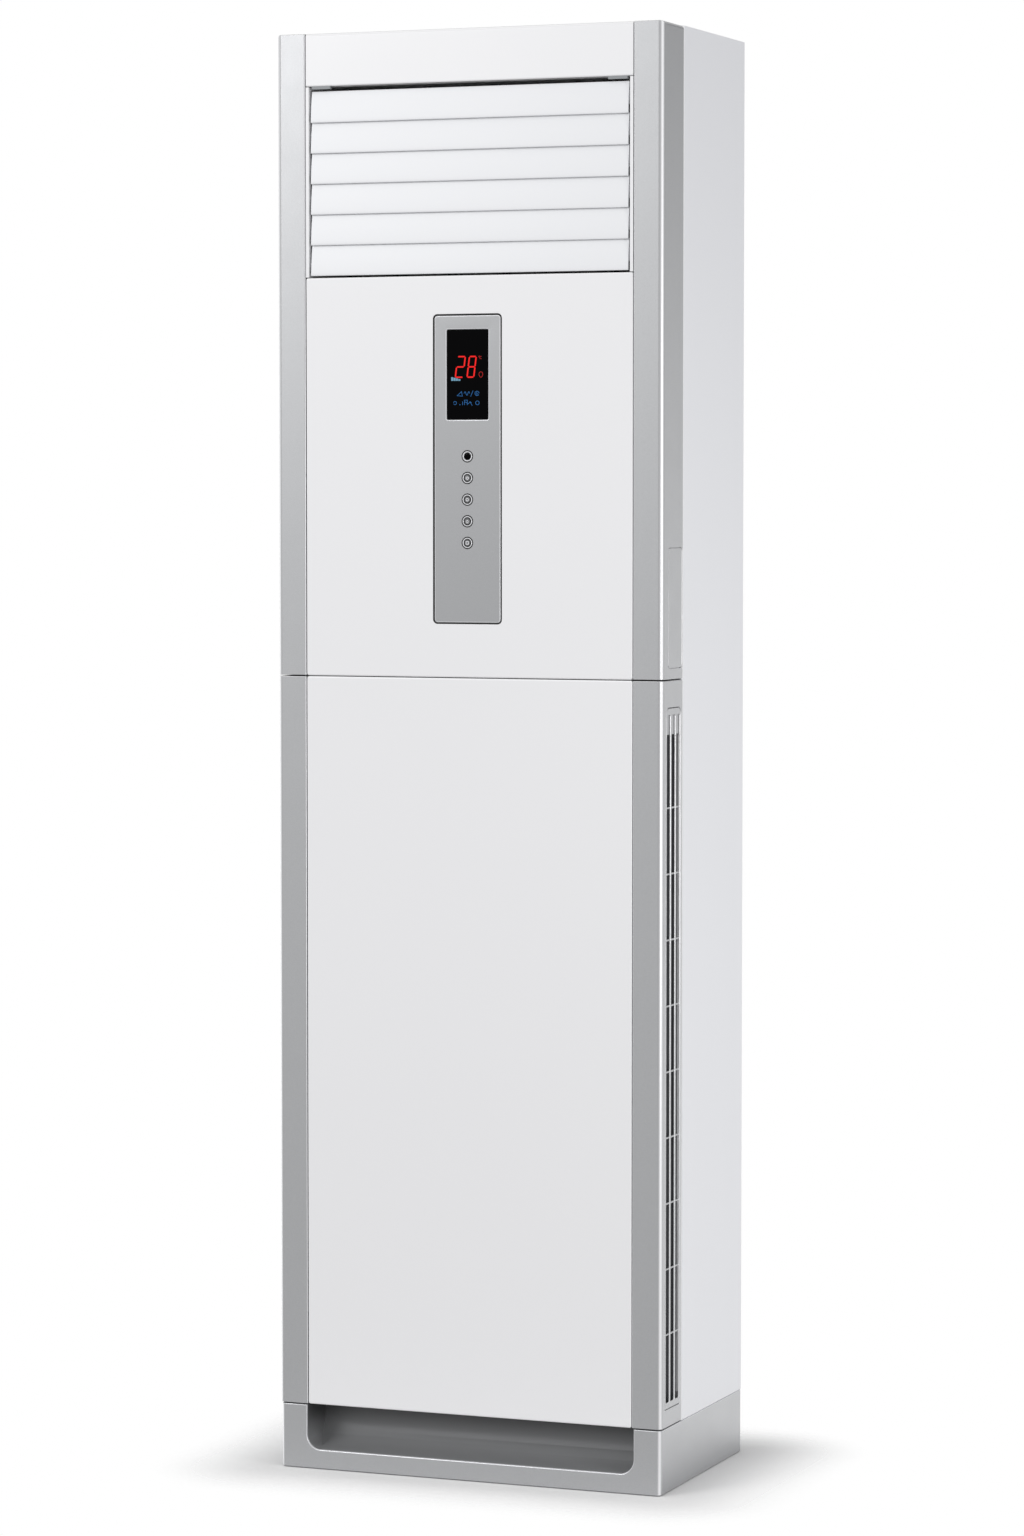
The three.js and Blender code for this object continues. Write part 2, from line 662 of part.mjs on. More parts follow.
function rearPanel() {
  const line = [[INSIDE_HALF, REAR_SHEET]];
  const slope = REAR_RIB_DEPTH;
  const half = REAR_RIB_WIDTH / 2;
  for (let rib = REAR_RIB_COUNT - 1; rib >= 0; rib -= 1) {
    const centre = (rib - (REAR_RIB_COUNT - 1) / 2) * REAR_RIB_SPACING;
    line.push([centre + half, REAR_SHEET], [centre + half - slope, REAR_SHEET - REAR_RIB_DEPTH]);
    line.push([centre - half + slope, REAR_SHEET - REAR_RIB_DEPTH], [centre - half, REAR_SHEET]);
  }
  line.push([-INSIDE_HALF, REAR_SHEET]);
  const bottom = PLINTH_TOP + STEEL + 2 * FIT;
  const sheet = raised(foldedSheet(line, STEEL), bottom, TOP - STEEL - FIT);
  const pipeHole = rodBack(PIPE_HOLE_RADIUS, 0, FAR, PIPE_HOLE_X, PIPE_HOLE_HEIGHT, RING_SIDES);
  return cut(sheet, pipeHole);
}

function topCover() {
  const front = COVER_EDGE;
  const plate = block(-INSIDE_HALF, INSIDE_HALF, front, REAR_SHEET, TOP - STEEL, TOP);
  const skirt = cut(
    block(-INSIDE_HALF, INSIDE_HALF, front, REAR_INSIDE, TOP - COVER_SKIRT, TOP - STEEL / 2),
    block(-INSIDE_HALF + STEEL, INSIDE_HALF - STEEL, front + STEEL, REAR_INSIDE - STEEL, 0, FAR),
  );
  return join(plate, skirt);
}

// ---------------------------------------------------------------- corner trims

/** The round corner of a trim, in plan. */
const trimCorner = () =>
  arc(HALF - TRIM_CORNER, FRONT + TRIM_CORNER, TRIM_CORNER, 1.5 * Math.PI, 2 * Math.PI, CORNER_STEPS);

function trimPlan() {
  return foldedSheet(
    [
      [TRIM_INNER - LIP_WIDTH, LIP_FRONT],
      [TRIM_INNER, LIP_FRONT],
      [TRIM_INNER, FRONT],
      ...trimCorner(),
      [HALF, TRIM_BACK],
      [HALF - TRIM_RETURN, TRIM_BACK],
    ],
    PLASTIC,
  );
}

/** Outline of the intake grille in the side view, grown by `grow`. */
function grilleOutline(grow) {
  const front = GRILLE_FRONT - grow;
  const back = GRILLE_BACK + grow;
  const shape = new THREE.Shape();
  shape.moveTo(front, GRILLE_BOTTOM - grow);
  shape.lineTo(back, GRILLE_BOTTOM - grow);
  shape.lineTo(back, GRILLE_TOP - GRILLE_ARCH + grow);
  const crown = GRILLE_TOP + GRILLE_ARCH / 2 + grow;
  shape.quadraticCurveTo((front + back) / 2, crown, front, GRILLE_TOP - GRILLE_ARCH + grow);
  return shape;
}

function lowerTrim() {
  const shell = raised(trimPlan(), PLINTH_TOP + FIT, SEAM_HEIGHT - SEAM / 2);
  const window = carriedAcross(grilleOutline(FIT), HALF - GRILLE_THICKNESS - FIT, FAR, SMALL_STEPS);
  return cut(shell, window);
}

const sideCoverOutline = (grow) =>
  roundedOutline(
    FRONT + COVER_FRONT - grow,
    FRONT + COVER_FRONT + COVER_WIDTH + grow,
    COVER_BOTTOM - grow,
    COVER_TOP + grow,
    COVER_CORNER + Math.max(grow, -COVER_CORNER / 2),
  );

function upperTrim() {
  const bottom = SEAM_HEIGHT + SEAM / 2;
  const shell = raised(trimPlan(), bottom, TOP);
  const lid = outline([
    [TRIM_INNER, FRONT],
    ...trimCorner(),
    [HALF, TRIM_BACK],
    [TRIM_INNER, TRIM_BACK],
  ]);
  const lipBreak = block(
    0,
    TRIM_INNER + PLASTIC + HOLD_IN,
    PANEL_BACK - PLASTIC,
    0,
    OUTLET_BOTTOM - OUTLET_WALL - SEAM,
    OUTLET_TOP + OUTLET_WALL + SEAM,
  );
  const lipTop = block(0, TRIM_INNER, FRONT, TRIM_BACK, TOP - PLASTIC - FIT, FAR);
  const pocket = carriedAcross(sideCoverOutline(FIT), HALF - COVER_THICKNESS - FIT, FAR);
  const access = carriedAcross(sideCoverOutline(-COVER_REST), HALF - TRIM_RETURN, FAR);
  return cut(join(shell, raised(lid, TOP - PLASTIC, TOP)), lipBreak, lipTop, pocket, access);
}

const sideCover = () => carriedAcross(sideCoverOutline(0), HALF - COVER_THICKNESS, HALF);

// ---------------------------------------------------------------- intake grilles and filters

function intakeGrille() {
  const plate = carriedAcross(grilleOutline(0), HALF - GRILLE_THICKNESS, HALF, SMALL_STEPS);
  const slots = [];
  const scoops = [];
  const crossbars = [];
  const scoopBottom = SLOT_TOP - CROSSBAR_HEIGHT;
  for (let slot = 0; slot < SLOT_COUNT; slot += 1) {
    const y0 = GRILLE_FRONT + SLOT_EDGE + slot * (SLOT_WIDTH + SLOT_RIB);
    const y1 = y0 + SLOT_WIDTH;
    slots.push(block(0, FAR, y0, y1, SLOT_BOTTOM, SLOT_TOP));
    scoops.push(block(HALF - SCOOP_DEPTH, FAR, y0, y1, scoopBottom, GRILLE_TOP - GRILLE_ARCH));
  }
  for (let bar = 0; bar < CROSSBAR_COUNT; bar += 1) {
    const z = CROSSBAR_FIRST + bar * CROSSBAR_PITCH;
    crossbars.push(
      block(
        HALF - GRILLE_THICKNESS,
        HALF - CROSSBAR_SETBACK,
        GRILLE_FRONT + CROSSBAR_OVERLAP,
        GRILLE_BACK - CROSSBAR_OVERLAP,
        z - CROSSBAR_HEIGHT / 2,
        z + CROSSBAR_HEIGHT / 2,
      ),
    );
  }
  const clips = [GRILLE_FRONT + CLIP_MARGIN, GRILLE_BACK - CLIP_MARGIN - CLIP_THICKNESS].map((y) =>
    block(
      HALF - GRILLE_THICKNESS - FILTER_GAP + FIT,
      HALF - GRILLE_THICKNESS / 2,
      y,
      y + CLIP_THICKNESS,
      SLOT_BOTTOM + CLIP_BOTTOM_MARGIN,
      SLOT_TOP,
    ),
  );
  return join(cut(plate, slots, scoops), crossbars, clips);
}

function airFilter() {
  const outer = HALF - GRILLE_THICKNESS - FILTER_GAP;
  const [y0, y1] = [GRILLE_FRONT + FILTER_MARGIN, GRILLE_BACK - FILTER_MARGIN];
  const [z0, z1] = [GRILLE_BOTTOM + FILTER_MARGIN, SLOT_TOP + FILTER_MARGIN];
  const border = FILTER_BORDER;
  return cut(
    block(outer - FILTER_THICKNESS, outer, y0, y1, z0, z1),
    block(outer - FILTER_RECESS, FAR, y0 + border, y1 - border, z0 + border, z1 - border),
  );
}

// ---------------------------------------------------------------- front panels and top rail

/** A pan with its open side to the back and a small chamfer round its face. */
function panelPan(z0, z1) {
  const shape = outline([
    [-PANEL_HALF + PANEL_EDGE, z0 + PANEL_EDGE],
    [PANEL_HALF - PANEL_EDGE, z0 + PANEL_EDGE],
    [PANEL_HALF - PANEL_EDGE, z1 - PANEL_EDGE],
    [-PANEL_HALF + PANEL_EDGE, z1 - PANEL_EDGE],
  ]);
  const bevel = { bevelEnabled: true, bevelSize: PANEL_EDGE, bevelThickness: PANEL_EDGE, bevelSegments: 2 };
  const body = new THREE.ExtrudeGeometry(shape, { depth: PANEL_DEPTH, ...bevel });
  body.rotateX(Math.PI / 2).translate(0, FRONT + PANEL_EDGE + PANEL_DEPTH, 0);
  return cut(
    body,
    block(-HALF, HALF, PANEL_BACK, 0, 0, FAR),
    block(-PANEL_HALF + PLASTIC, PANEL_HALF - PLASTIC, FRONT + PLASTIC, 0, z0 + PLASTIC, z1 - PLASTIC),
  );
}

const plateOutline = (grow) =>
  roundedOutline(
    -PLATE_HALF_WIDTH - grow,
    PLATE_HALF_WIDTH + grow,
    PLATE_BOTTOM - grow,
    PLATE_TOP + grow,
    PLATE_CORNER + grow,
  );

function upperFrontPanel() {
  const pan = panelPan(SEAM_HEIGHT + SEAM / 2, OUTLET_BOTTOM - SEAM / 2);
  return cut(pan, carriedBack(plateOutline(FIT), FRONT - PLASTIC, FRONT + 2 * PLASTIC));
}

const lowerFrontPanel = () => panelPan(PLINTH_TOP + SEAM, SEAM_HEIGHT - SEAM / 2);

function topRail() {
  const bottom = OUTLET_TOP + SEAM / 2;
  const section = outline([
    [COVER_EDGE - SEAM / 2, TOP],
    ...arc(FRONT + RAIL_ROUND, TOP - RAIL_ROUND, RAIL_ROUND, Math.PI / 2, Math.PI, SMALL_STEPS),
    [FRONT, bottom + PANEL_EDGE],
    [FRONT + PANEL_EDGE, bottom],
    [PANEL_BACK, bottom],
    [PANEL_BACK, TOP - PLASTIC],
    [COVER_EDGE - SEAM / 2, TOP - PLASTIC],
  ]);
  const hollow = block(
    -PANEL_HALF + PLASTIC,
    PANEL_HALF - PLASTIC,
    FRONT + PLASTIC,
    0,
    bottom + PLASTIC,
    TOP - RAIL_ROUND,
  );
  return cut(carriedAcross(section, -PANEL_HALF, PANEL_HALF), hollow);
}

// ---------------------------------------------------------------- air outlet

function outletFrame() {
  const half = PANEL_HALF;
  const [z0, z1] = [OUTLET_BOTTOM - OUTLET_WALL, OUTLET_TOP + OUTLET_WALL];
  const flange = block(-INNER_HALF, INNER_HALF, TRIM_BACK - DUCT_WALL, TRIM_BACK, z0, z1);
  const tube = block(-half, half, PANEL_BACK + FIT, FRONT + OUTLET_TUBE_DEPTH, z0, z1);
  const cheeks = block(-half, half, FRONT + FIT, PANEL_BACK + SEAM, OUTLET_BOTTOM + FIT, OUTLET_TOP - FIT);
  const mouth = block(-MOUTH_HALF, MOUTH_HALF, -FAR, FAR, OUTLET_BOTTOM, OUTLET_TOP);
  const pivots = [];
  for (let row = 0; row < LOUVER_COUNT; row += 1) {
    pivots.push(rodAcross(PIN_RADIUS + RUNNING, -HALF, HALF, LOUVER_PIVOT_Y, louverHeight(row)));
  }
  for (let column = 0; column < VANE_COUNT; column += 1) {
    pivots.push(rodUp(PIN_RADIUS + RUNNING, 0, FAR, vaneX(column), VANE_PIVOT_Y));
  }
  return cut(join(tube, flange, cheeks), mouth, pivots);
}

/** One louvre at its closed position; the first one's right pin is long enough for the swing motor. */
function louver(row) {
  const z = louverHeight(row);
  const tilt = THREE.MathUtils.degToRad(LOUVER_TILT);
  const half = LOUVER_CHORD / 2;
  const rib = LOUVER_RIB / 2;
  const dished = LOUVER_THICKNESS - LOUVER_DISH;
  const blade = new THREE.Shape();
  blade.moveTo(0, -half);
  blade.quadraticCurveTo(-2 * LOUVER_BOW, 0, 0, half);
  blade.lineTo(LOUVER_TIP, half);
  blade.lineTo(LOUVER_THICKNESS, half - LOUVER_TAPER);
  blade.lineTo(dished, rib);
  blade.lineTo(dished + LOUVER_RIB, rib);
  blade.lineTo(dished + LOUVER_RIB, -rib);
  blade.lineTo(dished, -rib);
  blade.lineTo(LOUVER_THICKNESS, -half);
  const face = LOUVER_PIVOT_Y - LOUVER_PIVOT_BACK;
  const skin = carriedAcross(blade, -LOUVER_HALF, LOUVER_HALF, SMALL_STEPS);
  skin.rotateX(-tilt).translate(0, face, z);
  const lean = LOUVER_EAR_HALF_HEIGHT * Math.tan(tilt);
  const middle = face + LOUVER_THICKNESS / 2;
  const ear = outline([
    [middle - lean, z - LOUVER_EAR_HALF_HEIGHT],
    [LOUVER_PIVOT_Y, z - HUB_RADIUS],
    ...arc(LOUVER_PIVOT_Y, z, HUB_RADIUS, -Math.PI / 2, Math.PI / 2, SMALL_STEPS).slice(1),
    [middle + lean, z + LOUVER_EAR_HALF_HEIGHT],
  ]);
  const ears = [-LOUVER_HALF, LOUVER_HALF - LOUVER_EAR].map((x) => carriedAcross(ear, x, x + LOUVER_EAR));
  const rightEnd = row === 0 ? CRANK_INNER + SWING_MOTOR_LENGTH / 3 : PANEL_HALF;
  const root = LOUVER_EAR / 2;
  const pin = rodAcross(PIN_RADIUS, LOUVER_HALF - root, rightEnd, LOUVER_PIVOT_Y, z);
  const shaft = rodAcross(PIN_RADIUS, -CRANK_INNER - root, -LOUVER_HALF + root, LOUVER_PIVOT_Y, z);
  const crankOutline = outline([
    ...arc(LOUVER_PIVOT_Y, z, HUB_RADIUS, Math.PI / 2, 1.5 * Math.PI, SMALL_STEPS),
    ...arc(LOUVER_PIVOT_Y + CRANK_RADIUS, z, LINK_HALF_WIDTH, -Math.PI / 2, Math.PI / 2, SMALL_STEPS),
  ]);
  const crank = cut(
    carriedAcross(crankOutline, -CRANK_OUTER, -CRANK_INNER),
    rodAcross(LINK_PIN_RADIUS + LINK_PIN_PLAY, -HALF, 0, LOUVER_PIVOT_Y + CRANK_RADIUS, z),
  );
  return join(skin, ears, pin, shaft, crank);
}

function louverLinkRod() {
  const x1 = -CRANK_OUTER - FIT;
  const y = LOUVER_PIVOT_Y + CRANK_RADIUS;
  const [z0, z1] = [louverHeight(LOUVER_COUNT - 1), louverHeight(0)];
  const bar = roundedOutline(
    y - LINK_HALF_WIDTH,
    y + LINK_HALF_WIDTH,
    z0 - LINK_HALF_WIDTH,
    z1 + LINK_HALF_WIDTH,
    LINK_HALF_WIDTH - FIT,
  );
  const pins = [];
  const [rooted, tip] = [x1 - LINK_THICKNESS / 2, -CRANK_INNER - FIT];
  for (let row = 0; row < LOUVER_COUNT; row += 1) {
    pins.push(rodAcross(LINK_PIN_RADIUS, rooted, tip, y, louverHeight(row)));
  }
  return join(carriedAcross(bar, x1 - LINK_THICKNESS, x1), pins);
}

function vane(column) {
  const x = vaneX(column);
  const [z0, z1] = [OUTLET_BOTTOM + VANE_GAP, OUTLET_TOP - VANE_GAP];
  const [front, back] = [VANE_PIVOT_Y - VANE_CHORD / 2, VANE_PIVOT_Y + VANE_CHORD / 2];
  const half = VANE_THICKNESS / 2;
  const plan = outline([
    [x, front],
    [x + half, front + VANE_TAPER],
    [x + half, back - VANE_TAPER],
    [x + half / 2, back],
    [x - half / 2, back],
    [x - half, back - VANE_TAPER],
    [x - half, front + VANE_TAPER],
  ]);
  const pinY = VANE_PIVOT_Y + VANE_CRANK;
  const notch = block(
    x - 2 * half,
    x + 2 * half,
    pinY - VANE_BAR_DEPTH / 2 - VANE_NOTCH_SWEEP,
    FAR,
    z0 + VANE_NOTCH_BASE - VANE_NOTCH_PLAY,
    z0 + VANE_NOTCH_BASE + VANE_BAR_HEIGHT + VANE_NOTCH_PLAY,
  );
  const pivotTop = OUTLET_TOP + OUTLET_WALL + (column === 0 ? SWING_MOTOR_LENGTH / 3 : 0);
  const pivot = rodUp(PIN_RADIUS, OUTLET_BOTTOM - OUTLET_WALL, pivotTop, x, VANE_PIVOT_Y);
  const linkPin = rodUp(
    LINK_PIN_RADIUS,
    z0 + VANE_NOTCH_BASE - VANE_PIN_HOLD,
    z0 + VANE_NOTCH_BASE + VANE_BAR_HEIGHT + VANE_PIN_HOLD,
    x,
    pinY,
  );
  return join(cut(raised(plan, z0, z1), notch), pivot, linkPin);
}

function vaneLinkBar() {
  const z0 = OUTLET_BOTTOM + VANE_GAP + VANE_NOTCH_BASE;
  const y = VANE_PIVOT_Y + VANE_CRANK;
  const reach = vaneX(VANE_COUNT - 1) + VANE_BAR_DEPTH;
  const half = VANE_BAR_DEPTH / 2;
  const bar = block(-reach, reach, y - half, y + half, z0, z0 + VANE_BAR_HEIGHT);
  const eyes = [];
  const play = LINK_PIN_RADIUS + LINK_PIN_PLAY;
  const opening = LINK_PIN_RADIUS + LINK_PIN_PLAY / 2;
  for (let column = 0; column < VANE_COUNT; column += 1) {
    const x = vaneX(column);
    eyes.push(rodUp(play, 0, FAR, x, y), block(x - opening, x + opening, y, 0, 0, FAR));
  }
  return cut(bar, eyes);
}

/** A small geared swing motor with its shaft socket off centre, drawn with its shaft along +Z. */
function swingMotor(socketRadius) {
  const body = rodUp(SWING_MOTOR_RADIUS, 0, SWING_MOTOR_LENGTH, SWING_MOTOR_OFFSET, 0, KNOB_SIDES);
  const ears = raised(
    roundedOutline(
      SWING_MOTOR_OFFSET - SWING_MOTOR_EAR_HALF_WIDTH,
      SWING_MOTOR_OFFSET + SWING_MOTOR_EAR_HALF_WIDTH,
      -SWING_MOTOR_RADIUS - SWING_MOTOR_EAR,
      SWING_MOTOR_RADIUS + SWING_MOTOR_EAR,
      SWING_MOTOR_EAR_HALF_WIDTH - FIT,
    ),
    0,
    SWING_MOTOR_EAR_THICKNESS,
  );
  const plug = block(
    SWING_MOTOR_OFFSET,
    SWING_MOTOR_OFFSET + SWING_MOTOR_RADIUS + SWING_MOTOR_PLUG_REACH,
    -SWING_MOTOR_PLUG / 2,
    SWING_MOTOR_PLUG / 2,
    2 * SWING_MOTOR_EAR_THICKNESS,
    SWING_MOTOR_LENGTH - SWING_MOTOR_EAR_THICKNESS,
  );
  const socket = rodUp(socketRadius, -SWING_MOTOR_LENGTH, SWING_MOTOR_LENGTH / 2, 0, 0);
  return cut(join(body, ears, plug), socket);
}

// ---------------------------------------------------------------- control plate

const PLATE_FRONT = FRONT + PLATE_RECESS;
const PLATE_BACK = FRONT + PLASTIC + FIT + PLATE_FLANGE_THICKNESS;
const windowOutline = (grow) =>
  roundedOutline(
    -WINDOW_HALF_WIDTH - grow,
    WINDOW_HALF_WIDTH + grow,
    WINDOW_BOTTOM - grow,
    WINDOW_TOP + grow,
    WINDOW_CORNER + Math.max(grow, -WINDOW_CORNER / 2),
  );

function controlPlate() {
  const face = carriedBack(plateOutline(0), PLATE_FRONT, PLATE_BACK);
  const flange = carriedBack(plateOutline(PLATE_FLANGE), FRONT + PLASTIC + FIT, PLATE_BACK);
  const rings = [];
  const holes = [];
  for (let row = 0; row <= BUTTON_COUNT; row += 1) {
    const radius = row === 0 ? LENS_RADIUS : BUTTON_RADIUS;
    const z = keyHeight(row);
    rings.push(rodBack(RING_RADIUS, PLATE_FRONT - RING_HEIGHT, PLATE_BACK, 0, z, KNOB_SIDES));
    holes.push(rodBack(radius + RUNNING, -DEPTH, 0, 0, z, KNOB_SIDES));
  }
  const posts = [-1, 1].flatMap((side) =>
    [PLATE_BOTTOM + BOARD_POST_RISE, WINDOW_TOP + BOARD_TOP_MARGIN / 2].map((z) =>
      rodBack(
        BOARD_POST_RADIUS,
        PLATE_BACK - PLATE_FLANGE_THICKNESS / 2,
        PLATE_BACK + BOARD_POST,
        side * (PLATE_HALF_WIDTH - BOARD_POST_MARGIN),
        z,
      ),
    ),
  );
  return cut(
    join(face, flange, rings, posts),
    holes,
    carriedBack(windowOutline(FIT), -DEPTH, PLATE_FRONT + WINDOW_THICKNESS + FIT),
    carriedBack(windowOutline(-WINDOW_LEDGE), -DEPTH, 0),
  );
}

const displayWindow = () => carriedBack(windowOutline(0), PLATE_FRONT, PLATE_FRONT + WINDOW_THICKNESS);

const BOARD_FRONT = PLATE_BACK + BOARD_POST + FIT;

function displayBoard() {
  const half = PLATE_HALF_WIDTH - BOARD_SIDE_MARGIN;
  const [bottom, top] = [PLATE_BOTTOM + BOARD_BOTTOM_MARGIN, WINDOW_TOP + BOARD_TOP_MARGIN];
  const rooted = BOARD_FRONT + BOARD_THICKNESS / 2;
  const board = block(-half, half, BOARD_FRONT, BOARD_FRONT + BOARD_THICKNESS, bottom, top);
  const digits = block(
    -WINDOW_HALF_WIDTH + DIGITS_MARGIN,
    WINDOW_HALF_WIDTH - DIGITS_MARGIN,
    PLATE_BACK + SEAM,
    rooted,
    WINDOW_BOTTOM + DIGITS_MARGIN,
    WINDOW_TOP - DIGITS_MARGIN,
  );
  const switches = [];
  for (let row = 1; row <= BUTTON_COUNT; row += 1) {
    const z = keyHeight(row);
    const side = SWITCH_SIZE / 2;
    switches.push(block(-side, side, BOARD_FRONT - SWITCH_HEIGHT, rooted, z - side, z + side));
  }
  return join(board, digits, switches);
}

/** Front and rear flange of a round key, with its face hollowed by `dish`. */
function keyProfile(radius, dish) {
  const face = PLATE_FRONT - RING_HEIGHT;
  const flangeFront = PLATE_BACK + FIT;
  const flangeBack = flangeFront + BUTTON_FLANGE_THICKNESS;
  return [
    [0, face + dish],
    [radius - BUTTON_EDGE, face + BUTTON_DOME - dish],
    [radius, PLATE_FRONT + BUTTON_SHOULDER],
    [radius, flangeFront],
    [radius + BUTTON_FLANGE, flangeFront],
    [radius + BUTTON_FLANGE, flangeBack],
  ];
}

function button(row) {
  const flangeBack = PLATE_BACK + FIT + BUTTON_FLANGE_THICKNESS;
  const stemBack = BOARD_FRONT - SWITCH_HEIGHT - BUTTON_TRAVEL - FIT;
  const stem = [
    [BUTTON_STEM_RADIUS, flangeBack],
    [BUTTON_STEM_RADIUS, stemBack],
    [0, stemBack],
  ];
  return lathed([...keyProfile(BUTTON_RADIUS, BUTTON_DOME), ...stem], KNOB_SIDES, 0, keyHeight(row));
}

function receiverLens() {
  const back = [[0, PLATE_BACK + FIT + BUTTON_FLANGE_THICKNESS]];
  return lathed([...keyProfile(LENS_RADIUS, 0), ...back], KNOB_SIDES, 0, keyHeight(0));
}

// ---------------------------------------------------------------- chambers

/** The plate between the fan chamber and the coil chamber, with its skirt turned down. */
function partitionPlate() {
  const [y0, y1] = [COVER_EDGE, REAR_INSIDE];
  const [z0, z1] = [DECK_HEIGHT - COVER_SKIRT, DECK_HEIGHT + STEEL];
  const half = INSIDE_HALF;
  const tray = cut(
    block(-half, half, y0, y1, z0, z1),
    block(-half + STEEL, half - STEEL, y0 + STEEL, y1 - STEEL, 0, DECK_HEIGHT),
  );
  const neck = block(
    BLOWER_X + NECK_OFFSET + CASING_WALL,
    BLOWER_X + SCROLL_END - CASING_WALL,
    CASING_FRONT + CASING_WALL,
    CASING_BACK - CASING_WALL,
    0,
    FAR,
  );
  const hoseHole = rodUp(HOSE_RADIUS + HOSE_HOLE_PLAY, 0, FAR, HOSE_X, HOSE_Y, KNOB_SIDES);
  return cut(tray, neck, hoseHole);
}

/** The insulated wall between the coil chamber and the control box, with its sides turned forward. */
function ductWall() {
  const front = TRIM_BACK - TRIM_RETURN;
  const line = [
    [INNER_HALF, front],
    [INNER_HALF, TRIM_BACK],
    [-INNER_HALF, TRIM_BACK],
    [-INNER_HALF, front],
  ];
  return raised(foldedSheet(line, DUCT_WALL), DECK_HEIGHT, OUTLET_BOTTOM - OUTLET_WALL - FIT);
}

// ---------------------------------------------------------------- blower

/** The scroll with its neck going straight up, its wall moved in by `inset`. */
function scrollOutline(inset) {
  const tongue = Math.acos(NECK_OFFSET / SCROLL_START);
  const start = Math.acos((NECK_OFFSET + inset) / (SCROLL_START - inset));
  const top = DECK_HEIGHT - FIT + inset;
  const points = [[BLOWER_X + NECK_OFFSET + inset, top]];
  for (let step = 0; step <= SCROLL_STEPS; step += 1) {
    const angle = start + ((2 * Math.PI - start) * step) / SCROLL_STEPS;
    const growth = (angle - tongue) / (2 * Math.PI - tongue);
    const radius = SCROLL_START + (SCROLL_END - SCROLL_START) * growth - inset;
    points.push([BLOWER_X + radius * Math.cos(angle), BLOWER_HEIGHT + radius * Math.sin(angle)]);
  }
  points.push([BLOWER_X + SCROLL_END - inset, top]);
  return outline(points);
}

function scrollCasing() {
  const outer = carriedBack(scrollOutline(0), CASING_FRONT, CASING_BACK);
  const neckFlange = block(
    BLOWER_X + NECK_OFFSET - NECK_FLANGE,
    BLOWER_X + SCROLL_END + NECK_FLANGE,
    CASING_FRONT - NECK_FLANGE,
    CASING_BACK + NECK_FLANGE,
    DECK_HEIGHT - FIT - CASING_WALL,
    DECK_HEIGHT - FIT,
  );
  return cut(
    join(outer, neckFlange),
    carriedBack(scrollOutline(CASING_WALL), CASING_FRONT + CASING_WALL, CASING_BACK - CASING_WALL),
    rodBack(INLET_RADIUS, -FAR, 0, BLOWER_X, BLOWER_HEIGHT, RING_SIDES),
    rodBack(MOTOR_HOLE, 0, FAR, BLOWER_X, BLOWER_HEIGHT, RING_SIDES),
  );
}

/** The flared inlet ring that guides air into the wheel. */
function bellMouth() {
  const back = CASING_FRONT - FIT;
  const front = back - BELL_WALL;
  const flange = INLET_RADIUS + BELL_FLANGE;
  const lip = INLET_RADIUS - BELL_CLEARANCE;
  const mouth = (wall) =>
    Array.from({ length: SMALL_STEPS + 1 }, (_, i) => {
      const turn = (i / SMALL_STEPS) * (Math.PI / 2);
      const radius = lip - (lip - BELL_THROAT - wall) * Math.sin(turn);
      return [radius, front + wall + (BELL_REACH - wall) * (1 - Math.cos(turn))];
    });
  const profile = [
    [flange, front],
    [flange, back],
    ...mouth(BELL_WALL),
    ...mouth(0).reverse(),
    [flange, front],
  ];
  return lathed(profile, RING_SIDES, BLOWER_X, BLOWER_HEIGHT);
}

/** One forward-curved blade, at `turn` radians round the wheel. */
function blade(turn) {
  const sweep = THREE.MathUtils.degToRad(BLADE_SWEEP);
  const [inner, outer] = [WHEEL_INNER + BLADE_MARGIN, WHEEL_RADIUS - BLADE_MARGIN];
  const bite = WHEEL_DISC / 2;
  const edge = (side) =>
    [0, 0.5, 1].map((t) => {
      const radius = inner + (outer - inner) * t;
      const angle = turn + sweep * t * t + (side * BLADE_THICKNESS) / 2 / radius;
      return [radius * Math.cos(angle), radius * Math.sin(angle)];
    });
  return carriedBack(outline([...edge(-1), ...edge(1).reverse()]), WHEEL_FRONT + bite, WHEEL_BACK - bite);
}

function blowerWheel() {
  const bore = SHAFT_RADIUS + RUNNING;
  const hubBack = HUB_FRONT + HUB_LENGTH;
  const disc = lathed(
    [
      [bore, HUB_FRONT],
      [HUB_OUTER, HUB_FRONT],
      [HUB_OUTER, hubBack - 2 * WHEEL_DISC],
      [HUB_OUTER + HUB_CONE, hubBack - WHEEL_DISC],
      [MOTOR_HOLE + WHEEL_DISC, WHEEL_BACK - WHEEL_DISC],
      [WHEEL_RADIUS, WHEEL_BACK - WHEEL_DISC],
      [WHEEL_RADIUS, WHEEL_BACK],
      [MOTOR_HOLE, WHEEL_BACK],
      [HUB_OUTER + HUB_CONE - WHEEL_DISC, hubBack],
      [bore, hubBack],
      [bore, HUB_FRONT],
    ],
    WHEEL_SIDES,
    0,
    0,
  );
  const ring = lathed(
    [
      [WHEEL_INNER, WHEEL_FRONT],
      [WHEEL_RADIUS, WHEEL_FRONT],
      [WHEEL_RADIUS, WHEEL_FRONT + WHEEL_DISC],
      [WHEEL_INNER, WHEEL_FRONT + WHEEL_DISC],
      [WHEEL_INNER, WHEEL_FRONT],
    ],
    WHEEL_SIDES,
    0,
    0,
  );
  const blades = Array.from({ length: BLADE_COUNT }, (_, i) => blade((2 * Math.PI * i) / BLADE_COUNT));
  return join(disc, ring, blades).translate(BLOWER_X, 0, BLOWER_HEIGHT);
}

const BRACKET_FRONT = CASING_BACK + FIT;

